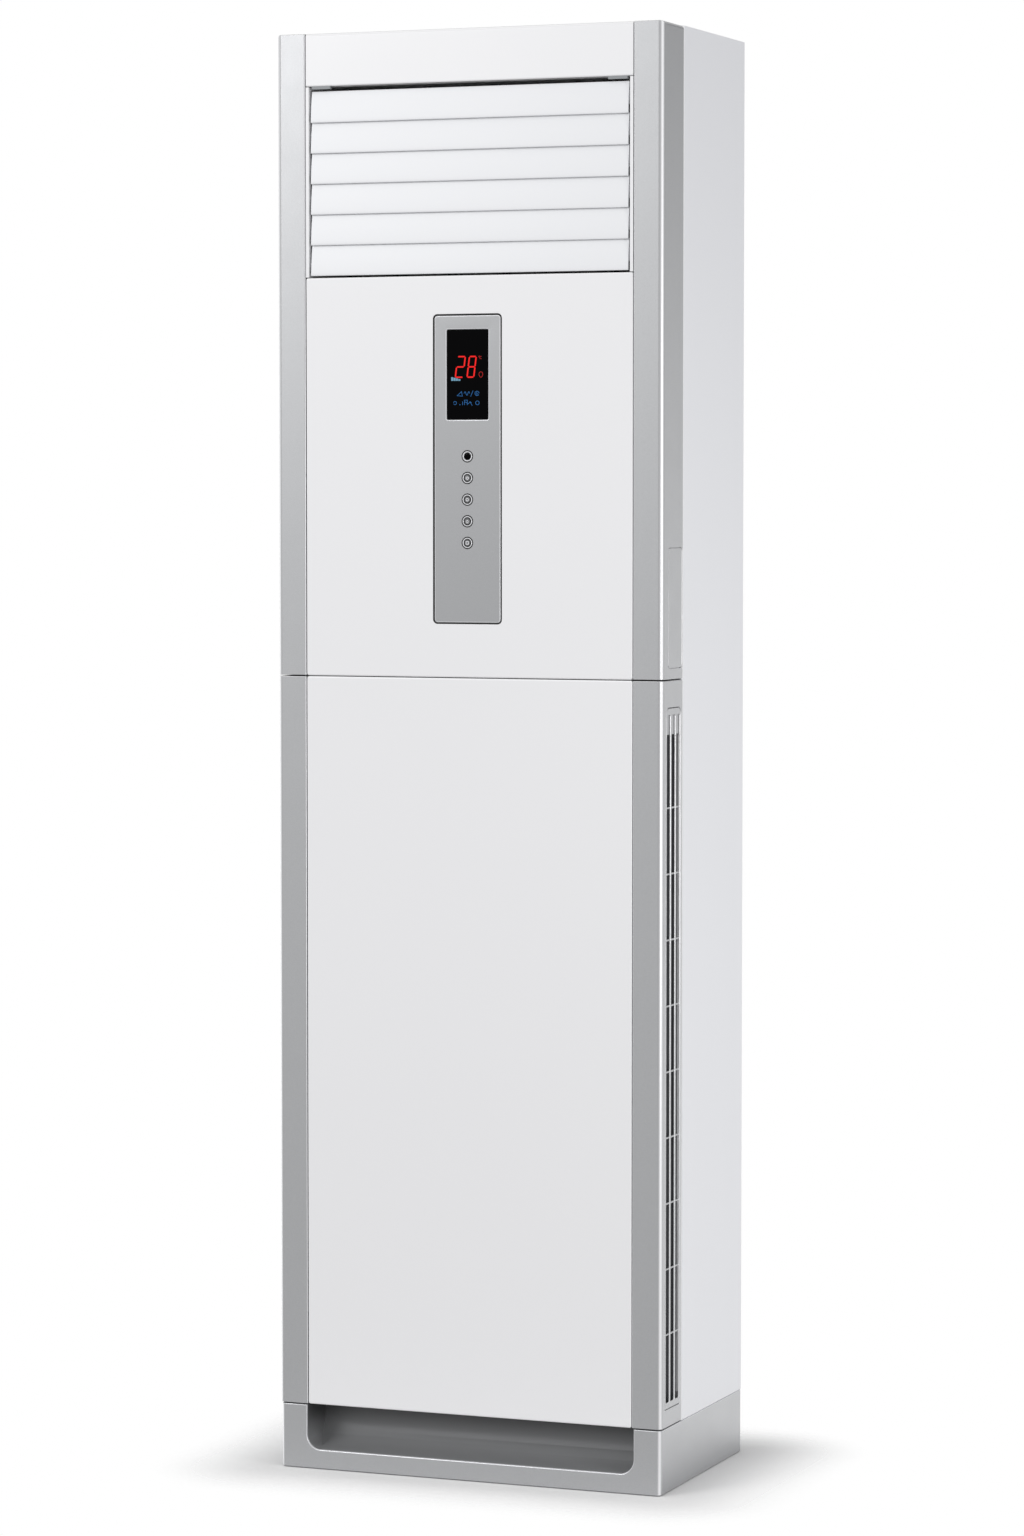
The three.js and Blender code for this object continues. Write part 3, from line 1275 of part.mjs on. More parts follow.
function motorBracket() {
  const half = BRACKET_ARM / 2;
  const arms = [Math.PI / 4, -Math.PI / 4].map((turn) =>
    block(-BRACKET_REACH, BRACKET_REACH, 0, BRACKET_THICKNESS, -half, half).rotateY(turn),
  );
  const plate = join(rodBack(MOTOR_HOLE + BRACKET_RIM, 0, BRACKET_THICKNESS, 0, 0, RING_SIDES), arms);
  const bore = rodBack(MOTOR_RADIUS + BRACKET_THICKNESS, -FAR, FAR, 0, 0, RING_SIDES);
  return cut(plate, bore).translate(BLOWER_X, BRACKET_FRONT, BLOWER_HEIGHT);
}

function fanMotor() {
  const rim = BRACKET_FRONT + BRACKET_THICKNESS + FIT;
  const nose = HUB_FRONT + HUB_LENGTH + MOTOR_NOSE_GAP;
  const shaftFront = HUB_FRONT + MOTOR_FLANGE_THICKNESS;
  const profile = [
    [0, shaftFront],
    [SHAFT_RADIUS, shaftFront],
    [SHAFT_RADIUS, nose],
    [MOTOR_RADIUS / 3, nose],
    [MOTOR_RADIUS / 3, nose + MOTOR_NOSE_LENGTH],
    [MOTOR_RADIUS - MOTOR_EDGE / 2, nose + MOTOR_SHOULDER],
    [MOTOR_RADIUS, nose + MOTOR_SHOULDER + MOTOR_EDGE / 2],
    [MOTOR_RADIUS, rim],
    [MOTOR_RADIUS + MOTOR_FLANGE, rim],
    [MOTOR_RADIUS + MOTOR_FLANGE, rim + MOTOR_FLANGE_THICKNESS],
    [MOTOR_RADIUS, rim + MOTOR_FLANGE_THICKNESS],
    [MOTOR_RADIUS, MOTOR_BACK - MOTOR_EDGE],
    [MOTOR_RADIUS - MOTOR_EDGE, MOTOR_BACK],
    [0, MOTOR_BACK],
  ];
  return lathed(profile, RING_SIDES, BLOWER_X, BLOWER_HEIGHT);
}

// ---------------------------------------------------------------- coil and drain

const coil = new THREE.Group();
const coilTilt = THREE.MathUtils.degToRad(COIL_TILT);
coil.position.set(0, COIL_FOOT_Y, COIL_FOOT_HEIGHT);
coil.rotation.x = -coilTilt;
cabinet.add(coil);

/** Heights of the tubes along the coil, from its foot. */
const tubeHeight = (tube) => (COIL_LENGTH - (TUBE_ROWS - 1) * TUBE_PITCH) / 2 + tube * TUBE_PITCH;

/** The block of fins, with grooves between them on both faces and a bore for each tube. */
function finBlock() {
  const half = COIL_THICKNESS / 2;
  const count = Math.floor((2 * COIL_HALF_WIDTH - FIN_GROOVE_WIDTH) / FIN_PITCH);
  const comb = (side) => {
    const points = [];
    for (let i = 0; i < count; i += 1) {
      const x = (i - (count - 1) / 2) * FIN_PITCH;
      const [left, right] = [x - FIN_GROOVE_WIDTH / 2, x + FIN_GROOVE_WIDTH / 2];
      const floor = side * (half - FIN_GROOVE);
      points.push([left, side * half], [left, floor], [right, floor], [right, side * half]);
    }
    return points;
  };
  const plan = outline([
    [-COIL_HALF_WIDTH, -half],
    ...comb(-1),
    [COIL_HALF_WIDTH, -half],
    [COIL_HALF_WIDTH, half],
    ...comb(1).reverse(),
    [-COIL_HALF_WIDTH, half],
  ]);
  const bores = [];
  for (let tube = 0; tube < TUBE_ROWS; tube += 1) {
    for (const y of [-TUBE_ROW_OFFSET, TUBE_ROW_OFFSET]) {
      bores.push(rodAcross(TUBE_RADIUS + TUBE_PLAY, -HALF, HALF, y, tubeHeight(tube)));
    }
  }
  return cut(raised(plan, 0, COIL_LENGTH), bores);
}

/** A run of pipe through a list of points, bent only where the points bend. */
class PipeRun extends THREE.Curve {
  constructor(points) {
    super();
    this.points = points;
  }

  nearest(u) {
    return Math.round(u * (this.points.length - 1));
  }

  getPointAt(u) {
    return this.points[this.nearest(u)].clone();
  }

  getTangentAt(u, target = new THREE.Vector3()) {
    const stop = this.nearest(u);
    const before = this.points[Math.max(stop - 1, 0)];
    const after = this.points[Math.min(stop + 1, this.points.length - 1)];
    return target.copy(after).sub(before).normalize();
  }

  getSpacedPoints() {
    return this.points.map((point) => point.clone());
  }
}

const pipeSection = (radius, sides) => outline(arc(0, 0, radius, 0, 2 * Math.PI, sides).slice(1));
const pipe = (section, points) =>
  new THREE.ExtrudeGeometry(section, {
    steps: points.length - 1,
    extrudePath: new PipeRun(points),
    bevelEnabled: false,
  });

/** The tubes in series: up the front row, over at the top and down the back row. */
function coilTubes() {
  const reach = COIL_HALF_WIDTH + TUBE_STUB;
  const stops = [];
  for (let tube = 0; tube < TUBE_ROWS; tube += 1) stops.push([-TUBE_ROW_OFFSET, tubeHeight(tube)]);
  for (let tube = TUBE_ROWS - 1; tube >= 0; tube -= 1) stops.push([TUBE_ROW_OFFSET, tubeHeight(tube)]);
  const points = [new THREE.Vector3(-reach, ...stops[0])];
  stops.slice(1).forEach(([y, z], i) => {
    const [y0, z0] = stops[i];
    const side = i % 2 === 0 ? 1 : -1;
    const centre = new THREE.Vector3(side * reach, (y + y0) / 2, (z + z0) / 2);
    const start = new THREE.Vector3(0, (y0 - y) / 2, (z0 - z) / 2);
    const out = new THREE.Vector3(side * start.length(), 0, 0);
    for (let step = 0; step <= BEND_STEPS; step += 1) {
      const turn = (Math.PI * step) / BEND_STEPS;
      points.push(
        centre.clone().addScaledVector(start, Math.cos(turn)).addScaledVector(out, Math.sin(turn)),
      );
    }
  });
  points.push(new THREE.Vector3(-reach, ...stops.at(-1)));
  return pipe(pipeSection(TUBE_RADIUS, TUBE_SIDES), points);
}

const SADDLE_TOP = COIL_FOOT_HEIGHT - (COIL_THICKNESS / 2) * Math.sin(coilTilt) - FIT;
const DRAIN_PAN_TOP = COIL_FOOT_HEIGHT;
const DRAIN_PAN_BOTTOM = DRAIN_PAN_TOP - DRAIN_PAN_HEIGHT;
const SPOUT_HEIGHT = DRAIN_PAN_BOTTOM + PAN_WALL + SPOUT_RADIUS;

function drainPan() {
  const half = DRAIN_PAN_HALF;
  const [y0, y1] = [TRIM_BACK + FIT, TRIM_BACK + DRAIN_PAN_DEPTH];
  const tray = cut(
    block(-half, half, y0, y1, DRAIN_PAN_BOTTOM, DRAIN_PAN_TOP),
    block(
      -half + PAN_WALL,
      half - PAN_WALL,
      y0 + PAN_WALL,
      y1 - PAN_WALL,
      DRAIN_PAN_BOTTOM + PAN_WALL,
      FAR,
    ),
  );
  const root = PAN_WALL / 2;
  const saddles = [-1, 1].map((side) => {
    const x = side * (COIL_HALF_WIDTH - SADDLE_WIDTH);
    const [x0, x1] = [x - SADDLE_WIDTH / 2, x + SADDLE_WIDTH / 2];
    return block(x0, x1, y0 + root, y1 - root, DRAIN_PAN_BOTTOM + root, SADDLE_TOP);
  });
  return cut(
    join(tray, saddles, rodAcross(SPOUT_RADIUS, SPOUT_END, -half + root, HOSE_Y, SPOUT_HEIGHT)),
    rodAcross(SPOUT_RADIUS - SPOUT_WALL, -FAR, -half + 2 * PAN_WALL, HOSE_Y, SPOUT_HEIGHT),
  );
}

/** A hose from the pan's spout down the cabinet's rear corner to the pipe hole in the rear panel. */
function drainHose() {
  const at = (x, y, z) => new THREE.Vector3(x, y, z);
  const elbow = arc(SPOUT_END, SPOUT_HEIGHT - HOSE_BEND, HOSE_BEND, Math.PI / 2, Math.PI, SMALL_STEPS);
  const lower = new THREE.CatmullRomCurve3([
    at(HOSE_X, HOSE_Y, DECK_HEIGHT - 2 * HOSE_BEND),
    at(HOSE_X, (HOSE_Y + HOSE_BACK_Y) / 2, BLOWER_HEIGHT + WHEEL_RADIUS),
    at(HOSE_X, HOSE_BACK_Y, BLOWER_HEIGHT - HOSE_TURN),
    at(HOSE_X, HOSE_BACK_Y, PIPE_HOLE_HEIGHT + 3 * HOSE_TURN),
    at(HOSE_X + HOSE_TURN, HOSE_BACK_Y, PIPE_HOLE_HEIGHT + HOSE_BEND),
    at(PIPE_HOLE_X - HOSE_HOLE_OFFSET, REAR_INSIDE, PIPE_HOLE_HEIGHT),
  ]);
  const section = pipeSection(HOSE_RADIUS, PIN_SIDES);
  section.holes.push(pipeSection(HOSE_RADIUS - HOSE_WALL, PIN_SIDES));
  const points = [at(-DRAIN_PAN_HALF - FIT, HOSE_Y, SPOUT_HEIGHT)];
  points.push(...elbow.map(([x, z]) => at(x, HOSE_Y, z)), ...lower.getSpacedPoints(HOSE_STEPS));
  return pipe(section, points);
}

// ---------------------------------------------------------------- electrical parts

const BOX_BACK = TRIM_BACK - DUCT_WALL - FIT;
const BOX_FLOOR = BOX_BACK - STEEL;

function controlBox() {
  const half = BOX_HALF_WIDTH;
  const tray = cut(
    block(-half, half, BOX_BACK - BOX_DEPTH, BOX_BACK, BOX_BOTTOM, BOX_TOP),
    block(-half + STEEL, half - STEEL, -DEPTH, BOX_FLOOR, BOX_BOTTOM + STEEL, BOX_TOP - STEEL),
  );
  const standoffs = [-1, 1].flatMap((side) =>
    [CIRCUIT_BOARD_BOTTOM + STANDOFF_INSET, CIRCUIT_BOARD_TOP - STANDOFF_INSET].map((z) =>
      rodBack(
        STANDOFF_RADIUS,
        BOX_FLOOR - CIRCUIT_BOARD_STANDOFF,
        BOX_BACK - STEEL / 2,
        side * (CIRCUIT_BOARD_HALF - STANDOFF_INSET),
        z,
      ),
    ),
  );
  const cableEntry = block(
    -CABLE_ENTRY_HALF_WIDTH,
    CABLE_ENTRY_HALF_WIDTH,
    BOX_BACK - BOX_DEPTH + CABLE_ENTRY_MARGIN,
    BOX_BACK - CABLE_ENTRY_MARGIN,
    0,
    BOX_BOTTOM + 2 * STEEL,
  );
  return cut(join(tray, standoffs), cableEntry);
}

const TERMINAL_BOTTOM = BOX_BOTTOM + TERMINAL_GAP;
const CIRCUIT_BOARD_HALF = BOX_HALF_WIDTH - CIRCUIT_BOARD_MARGIN;
const CIRCUIT_BOARD_BOTTOM = TERMINAL_BOTTOM + TERMINAL_HEIGHT + TERMINAL_GAP;
const CIRCUIT_BOARD_TOP = BOX_TOP - CIRCUIT_BOARD_MARGIN;

/** The main board, with its transformer, relays and capacitors. */
function controlBoard() {
  const back = BOX_FLOOR - CIRCUIT_BOARD_STANDOFF - FIT;
  const front = back - BOARD_THICKNESS;
  const rooted = front + BOARD_THICKNESS / 2;
  const half = CIRCUIT_BOARD_HALF;
  const [bottom, top] = [CIRCUIT_BOARD_BOTTOM, CIRCUIT_BOARD_TOP];
  const margin = CIRCUIT_BOARD_MARGIN;
  const board = block(-half, half, front, back, bottom, top);
  const coreX = -half + margin;
  const coreZ = bottom + 2 * margin;
  const transformer = block(
    coreX,
    coreX + TRANSFORMER_SIZE,
    front - TRANSFORMER_DEPTH,
    rooted,
    coreZ,
    coreZ + TRANSFORMER_SIZE,
  );
  const relays = Array.from({ length: RELAY_COUNT }, (_, i) => {
    const x = -half + margin + i * RELAY_PITCH;
    const z = top - 2 * margin;
    return block(x, x + RELAY_WIDTH, front - RELAY_DEPTH, rooted, z - RELAY_HEIGHT, z);
  });
  const capacitors = [1, 2].map((i) =>
    rodBack(
      CAPACITOR_RADIUS,
      front - CAPACITOR_LENGTH,
      rooted,
      half - CAPACITOR_LENGTH,
      bottom + i * CAPACITOR_PITCH,
      KNOB_SIDES,
    ),
  );
  const chip = PROCESSOR_SIZE / 2;
  const chipZ = (bottom + top) / 2;
  const processor = block(-chip, chip, front - PROCESSOR_THICKNESS, rooted, chipZ - chip, chipZ + chip);
  return join(board, transformer, relays, capacitors, processor);
}

function terminalBlock() {
  const half = (TERMINAL_COUNT * TERMINAL_PITCH) / 2;
  const back = BOX_FLOOR - FIT;
  const [z0, z1] = [TERMINAL_BOTTOM, TERMINAL_BOTTOM + TERMINAL_HEIGHT];
  const wells = Array.from({ length: TERMINAL_COUNT }, (_, i) => {
    const x = (i - (TERMINAL_COUNT - 1) / 2) * TERMINAL_PITCH;
    const reach = TERMINAL_PITCH / 2 - TERMINAL_WALL / 2;
    const [bottom, top] = [z0 + TERMINAL_WALL, z1 - TERMINAL_WALL];
    return block(x - reach, x + reach, -DEPTH, back - TERMINAL_DEPTH / 2, bottom, top);
  });
  const end = half + TERMINAL_WALL;
  return cut(block(-end, end, back - TERMINAL_DEPTH, back, z0, z1), wells);
}

// ---------------------------------------------------------------- the whole unit

add('base_pan', basePan(), zincSteel);
add('plinth', plinth(), silverPaint);
addPair('side_panel', sidePanel(), whitePaint);
add('rear_panel', rearPanel(), zincSteel);
add('top_cover', topCover(), whitePaint);
add('top_rail', topRail(), whitePlastic);
addPair('upper_trim', upperTrim(), silverPaint);
addPair('lower_trim', lowerTrim(), silverPaint);
addPair('side_cover', sideCover(), silverPaint);
addPair('intake_grille', intakeGrille(), silverPaint);
addPair('air_filter', airFilter(), filterMesh);
add('upper_front_panel', upperFrontPanel(), whitePlastic);
add('lower_front_panel', lowerFrontPanel(), whitePlastic);

add('outlet_frame', outletFrame(), whitePlastic);
for (let row = 0; row < LOUVER_COUNT; row += 1) add(`louver_${row + 1}`, louver(row), whitePlastic);
add('louver_link_rod', louverLinkRod(), greyPlastic);
for (let column = 0; column < VANE_COUNT; column += 1) add(`vane_${column + 1}`, vane(column), blackPlastic);
add('vane_link_bar', vaneLinkBar(), greyPlastic);
const louverMotor = swingMotor(PIN_RADIUS + RUNNING).rotateZ(Math.PI / 2).rotateY(Math.PI / 2);
add('louver_motor', louverMotor.translate(CRANK_INNER, LOUVER_PIVOT_Y, louverHeight(0)), zincSteel);
const vaneMotor = swingMotor(PIN_RADIUS + RUNNING).rotateZ(Math.PI / 2);
add('vane_motor', vaneMotor.translate(vaneX(0), VANE_PIVOT_Y, OUTLET_TOP + OUTLET_WALL + FIT), zincSteel);

add('control_plate', controlPlate(), silverPaint);
add('display_window', displayWindow(), blackGlass);
add('display_board', displayBoard(), boardGreen);
add('receiver_lens', receiverLens(), blackGlass);
for (let row = 1; row <= BUTTON_COUNT; row += 1) add(`button_${row}`, button(row), blackPlastic);

add('partition_plate', partitionPlate(), zincSteel);
add('duct_wall', ductWall(), zincSteel);
add('scroll_casing', scrollCasing(), zincSteel);
add('bell_mouth', bellMouth(), zincSteel);
add('blower_wheel', blowerWheel(), greyPlastic);
add('motor_bracket', motorBracket(), zincSteel);
add('fan_motor', fanMotor(), zincSteel);
add('coil_fins', finBlock(), finAluminium, coil);
add('coil_tubes', coilTubes(), copper, coil);
add('drain_pan', drainPan(), softPlastic);
add('drain_hose', drainHose(), softPlastic);
add('control_box', controlBox(), zincSteel);
add('control_board', controlBoard(), boardGreen);
add('terminal_block', terminalBlock(), blackPlastic);

export default cabinet;
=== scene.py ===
# %% [markdown]
# # A floor standing air conditioner
#
# This lesson dresses the solid model of a tall cabinet air conditioner. Its solids arrive as a
# fixed frame: every piece below is placed by the boxes of that frame, in metres, with X to the
# cabinet's right, Y to its back and Z up.

# %% Load the frame
import json
import math

import bmesh
import bpy
from mathutils import Matrix, Vector


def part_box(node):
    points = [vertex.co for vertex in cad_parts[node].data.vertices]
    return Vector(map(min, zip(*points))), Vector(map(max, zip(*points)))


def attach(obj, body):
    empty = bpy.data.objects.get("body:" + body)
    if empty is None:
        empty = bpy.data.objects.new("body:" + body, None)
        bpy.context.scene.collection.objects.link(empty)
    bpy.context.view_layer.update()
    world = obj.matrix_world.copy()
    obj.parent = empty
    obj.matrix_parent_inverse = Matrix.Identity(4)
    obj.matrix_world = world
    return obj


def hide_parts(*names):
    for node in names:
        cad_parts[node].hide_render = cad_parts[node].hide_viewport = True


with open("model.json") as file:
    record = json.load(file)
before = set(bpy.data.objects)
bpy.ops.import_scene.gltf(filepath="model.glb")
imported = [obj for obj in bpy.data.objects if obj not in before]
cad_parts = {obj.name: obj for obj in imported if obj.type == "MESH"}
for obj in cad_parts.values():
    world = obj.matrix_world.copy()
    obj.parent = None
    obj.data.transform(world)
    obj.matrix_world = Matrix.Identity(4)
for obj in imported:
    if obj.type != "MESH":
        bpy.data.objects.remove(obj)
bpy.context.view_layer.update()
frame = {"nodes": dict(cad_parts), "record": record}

nodes = frame["nodes"]
MM = 0.001

# %% [markdown]
# ## The camera
#
# The cabinet is seen from its right front at about chest height through a long lens, so its
# uprights hardly lean. The place and the lens come from the corners of the cabinet. A target
# could aim the camera, but three plain turns say the same and are easier to adjust.

# %% Place the camera
LENS, SENSOR = 111.26, 36  # millimetres
HEADING, LOOK_DOWN, ROLL = 21.642, 3.172, 0.0075  # degrees
CAMERA_PLACE = (2.1884, -5.5174, 1.2021)


def add_object(name, data):
    """A new object in the scene."""
    added = bpy.data.objects.new(name, data)
    bpy.context.scene.collection.objects.link(added)
    return added


camera_data = bpy.data.cameras.new("camera")
camera_data.sensor_width = SENSOR
camera_data.lens = LENS
camera = add_object("camera", camera_data)
turn = Matrix.Rotation(math.radians(HEADING), 4, "Z")
tip = Matrix.Rotation(math.radians(90 - LOOK_DOWN), 4, "X")
roll = Matrix.Rotation(math.radians(ROLL), 4, "Z")
camera.matrix_world = Matrix.Translation(CAMERA_PLACE) @ turn @ tip @ roll
bpy.context.scene.camera = camera
bpy.context.scene.view_settings.view_transform = "Standard"
print("camera at", [round(v, 3) for v in camera.matrix_world.translation])

# %% [markdown]
# ## Node helpers
#
# Finishes are made of shader nodes. A few short helpers keep each finish readable: one adds a node
# and links its inputs, and the others do sums with numbers, vectors, ranges and colours.


# %% Node helpers
def linear(*screen):
    """A screen colour from 0 to 255 as linear light."""
    return tuple(
        c / 255 / 12.92 if c / 255 <= 0.04045 else ((c / 255 + 0.055) / 1.055) ** 2.4
        for c in screen
    )


def add_node(tree, kind, settings=None, **inputs):
    """A node whose inputs are numbers, or outputs of other nodes."""
    node = tree.nodes.new(kind)
    for name, value in (settings or {}).items():
        setattr(node, name, value)
    for name, value in inputs.items():
        key = int(name[1:]) if name[0] == "i" and name[1:].isdigit() else name.replace("_", " ")
        if isinstance(value, bpy.types.NodeSocket):
            tree.links.new(value, node.inputs[key])
        else:
            node.inputs[key].default_value = value
    return node


def maths(tree, operation, a, b=0.0):
    return add_node(tree, "ShaderNodeMath", {"operation": operation}, i0=a, i1=b).outputs[0]


def vector_maths(tree, operation, **inputs):
    return add_node(tree, "ShaderNodeVectorMath", {"operation": operation}, **inputs).outputs


def remap(tree, value, low, high, to_low=0.0, to_high=1.0, easing="SMOOTHSTEP"):
    """A number moved from one range to another."""
    ranges = {"i1": low, "i2": high, "i3": to_low, "i4": to_high}
    settings = {"interpolation_type": easing}
    return add_node(tree, "ShaderNodeMapRange", settings, i0=value, **ranges).outputs[0]


def blend_colours(tree, share, a, b):
    mix = add_node(tree, "ShaderNodeMix", {"data_type": "RGBA"}, i0=share, i6=a, i7=b)
    return mix.outputs[2]


# %% [markdown]
# ## Floor and surroundings
#
# A product shot has a white sweep under and behind the object. Here the floor is a round sheet
# that fades out into a white world a hand's breadth from the plinth, so that no horizon shows
# from any side, and only the thin shadow under the plinth stays. The object is lit by a soft
# room: bright in front, greyer behind and above, and pale again low down, which is what the
# silver paint mirrors.


# %% Floor
FLOOR_RADIUS, FLOOR_DROP = 3.0, 0.0005
SHADED_BOX = (0.25, 0.15, 0)  # half the floor's shaded middle
FADE_WIDTH = 0.17


def make_floor():
    mesh = bpy.data.meshes.new("floor")
    disc = bmesh.new()
    bmesh.ops.create_circle(disc, cap_ends=True, segments=96, radius=FLOOR_RADIUS)
    disc.to_mesh(mesh)
    disc.free()
    floor = add_object("floor", mesh)
    floor.location.z = -FLOOR_DROP
    paint = bpy.data.materials.new("pale_floor")
    paint.use_nodes = True
    tree = paint.node_tree
    tree.nodes.remove(tree.nodes["Principled BSDF"])
    place = add_node(tree, "ShaderNodeTexCoord").outputs["Object"]
    size = vector_maths(tree, "ABSOLUTE", i0=place)[0]
    past = vector_maths(tree, "SUBTRACT", i0=size, i1=SHADED_BOX)[0]
    past = vector_maths(tree, "MAXIMUM", i0=past, i1=(0, 0, 0))[0]
    reach = vector_maths(tree, "LENGTH", i0=past)["Value"]
    fade = remap(tree, reach, 0.0, FADE_WIDTH)
    sheet = add_node(tree, "ShaderNodeBsdfDiffuse", Color=(0.93, 0.93, 0.93, 1)).outputs[0]
    clear = add_node(tree, "ShaderNodeBsdfTransparent").outputs[0]
    mix = add_node(tree, "ShaderNodeMixShader", i0=fade, i1=sheet, i2=clear)
    tree.links.new(mix.outputs[0], tree.nodes["Material Output"].inputs["Surface"])
    mesh.materials.append(paint)


make_floor()


# %% World and lamps
def make_world():
    world = bpy.data.worlds.new("room")
    bpy.context.scene.world = world
    world.use_nodes = True
    tree = world.node_tree
    heading = add_node(tree, "ShaderNodeTexCoord").outputs["Generated"]
    axes = add_node(tree, "ShaderNodeSeparateXYZ", Vector=heading)

    def shade_by_height(stops):
        ramp = add_node(tree, "ShaderNodeValToRGB", Fac=height)
        ramp.color_ramp.interpolation = "EASE"
        while len(ramp.color_ramp.elements) < len(stops):
            ramp.color_ramp.elements.new(0.5)
        for element, (place, level) in zip(ramp.color_ramp.elements, stops):
            element.position = place
            element.color = (*level, 1)
        return ramp.outputs["Color"]

    height = maths(tree, "MULTIPLY_ADD", axes.outputs["Z"], 0.5)
    height.node.inputs[2].default_value = 0.5
    front, back = shade_by_height(FRONT_ROOM), shade_by_height(BACK_ROOM)
    behind = remap(tree, axes.outputs["Y"], -0.35, 0.6)
    room = blend_colours(tree, behind, front, back)
    seen = add_node(tree, "ShaderNodeLightPath").outputs["Is Camera Ray"]
    shown = blend_colours(tree, seen, room, (1, 1, 1, 1))
    tree.links.new(shown, tree.nodes["Background"].inputs["Color"])


def grey(level, cool=1.0):
    return (level, level, level * cool)


# Brightness of the room by height: 0 is straight down, 0.5 the horizon and 1 straight up.
FRONT_ROOM = [
    (0.0, grey(0.48)), (0.42, grey(0.54)), (0.5, grey(0.7)), (0.6, grey(0.88)), (1.0, grey(0.62)),
]
BACK_ROOM = [
    (0.0, grey(0.5)), (0.41, grey(1.4)), (0.505, grey(1.2)), (0.545, grey(0.18, 1.03)),
    (1.0, grey(0.45)),
]
make_world()


def soft_lamp(name, place, aim, width, height, watts):
    """A rectangular lamp at one place that shines at another."""
    data = bpy.data.lights.new(name, "AREA")
    data.shape = "RECTANGLE"
    data.size, data.size_y = width, height
    data.energy = watts
    lamp = add_object(name, data)
    lamp.location = place
    lamp.rotation_euler = (Vector(aim) - Vector(place)).to_track_quat("-Z", "Y").to_euler()


soft_lamp("key", (-2.3, -3.6, 2.8), (0, 0, 1.1), 1.8, 1.4, 60)
soft_lamp("side", (2.0, -0.95, 0.95), (0.2, -0.1, 0.9), 0.4, 1.0, 8)

# %% [markdown]
# ## Finishes
#
# Each finish starts from one plain colour and gloss, set on the shader itself. Texture nodes then
# add what the hand or the eye would find close up: orange peel in the powder coat, flakes in the
# silver paint, spangle on the galvanised sheet, fine lines on the fins. They are measured in
# metres on the object, so they keep their size on every piece.


# %% Finish helpers
def finish(name, screen, roughness, metallic=0.0, **sockets):
    material = bpy.data.materials.new(name)
    material.use_nodes = True
    shader = material.node_tree.nodes["Principled BSDF"]
    shader.inputs["Base Color"].default_value = (*linear(*screen), 1)
    shader.inputs["Roughness"].default_value = roughness
    shader.inputs["Metallic"].default_value = metallic
    for key, value in sockets.items():
        shader.inputs[key.replace("_", " ")].default_value = value
    return material


def spot_on(material, stretch=(1, 1, 1)):
    """The point on the object in metres, stretched along the axes if asked."""
    tree = material.node_tree
    place = add_node(tree, "ShaderNodeTexCoord").outputs["Object"]
    if stretch == (1, 1, 1):
        return place
    return add_node(tree, "ShaderNodeMapping", Vector=place, Scale=stretch).outputs[0]


def cloud(material, scale, detail=3.0, stretch=(1, 1, 1)):
    noise = add_node(
        material.node_tree,
        "ShaderNodeTexNoise",
        Vector=spot_on(material, stretch),
        Scale=scale,
        Detail=detail,
    )
    return noise.outputs["Fac"]


def cells(material, scale, stretch=(1, 1, 1)):
    """Random shades in small cells, such as flakes or crystals."""
    tree, place = material.node_tree, spot_on(material, stretch)
    pattern = add_node(tree, "ShaderNodeTexVoronoi", Vector=place, Scale=scale)
    return add_node(tree, "ShaderNodeSeparateColor", Color=pattern.outputs["Color"]).outputs[0]


def lines(material, scale, direction):
    """Fine parallel lines that follow each other along one axis."""
    settings, place = {"bands_direction": direction}, spot_on(material)
    wave = add_node(material.node_tree, "ShaderNodeTexWave", settings, Vector=place, Scale=scale)
    return wave.outputs["Fac"]


def vary(material, socket, pattern, low, high):
    """Drives a number of the shader between two values by a pattern from 0 to 1."""
    tree = material.node_tree
    spread = remap(tree, pattern, 0.0, 1.0, low, high, "LINEAR")
    tree.links.new(spread, tree.nodes["Principled BSDF"].inputs[socket])


def tint(material, pattern, dark, light):
    """Lets the colour wander between a darker and a lighter shade of itself."""
    tree = material.node_tree
    socket = tree.nodes["Principled BSDF"].inputs["Base Color"]
    base = Vector(socket.default_value[:3])
    shades = [(*(base * factor), 1) for factor in (dark, light)]
    tree.links.new(blend_colours(tree, pattern, *shades), socket)


def relief(material, pattern, depth, strength=1.0):
    """Raises the surface by a pattern, `depth` metres high."""
    tree = material.node_tree
    bump = add_node(tree, "ShaderNodeBump", Strength=strength, Distance=depth, Height=pattern)
    tree.links.new(bump.outputs[0], tree.nodes["Principled BSDF"].inputs["Normal"])


def paint_edge_highlights(material, screen, low=0.03, high=0.24):
    """Paints highlights on rounded edges that face forward, sideways or up, by blending in a
    lighter colour.
    """
    tree = material.node_tree
    socket = tree.nodes["Principled BSDF"].inputs["Base Color"]
    normal = add_node(tree, "ShaderNodeTexCoord").outputs["Normal"]
    size = vector_maths(tree, "ABSOLUTE", i0=normal)[0]
    parts = add_node(tree, "ShaderNodeSeparateXYZ", Vector=size).outputs
    widest = maths(tree, "MAXIMUM", maths(tree, "MAXIMUM", parts[0], parts[1]), parts[2])
    rounding = remap(tree, maths(tree, "SUBTRACT", 1.0, widest), low, high)
    height = add_node(tree, "ShaderNodeSeparateXYZ", Vector=normal).outputs[2]
    upward = remap(tree, height, -0.35, -0.1, easing="LINEAR")
    share = maths(tree, "MULTIPLY", rounding, upward)
    plain = socket.links[0].from_socket if socket.links else tuple(socket.default_value)
    tree.links.new(blend_colours(tree, share, plain, (*linear(*screen), 1)), socket)


# %% Make the finishes
# The last call in each of the next four finishes paints a highlight in a paler colour on rounded
# edges.
white_steel = finish("white_powder_coat", (234, 235, 239), 0.42)
tint(white_steel, cloud(white_steel, 4, 2), 0.985, 1.0)
relief(white_steel, cloud(white_steel, 700, 1), 0.00004, 0.35)
paint_edge_highlights(white_steel, (253, 253, 254))

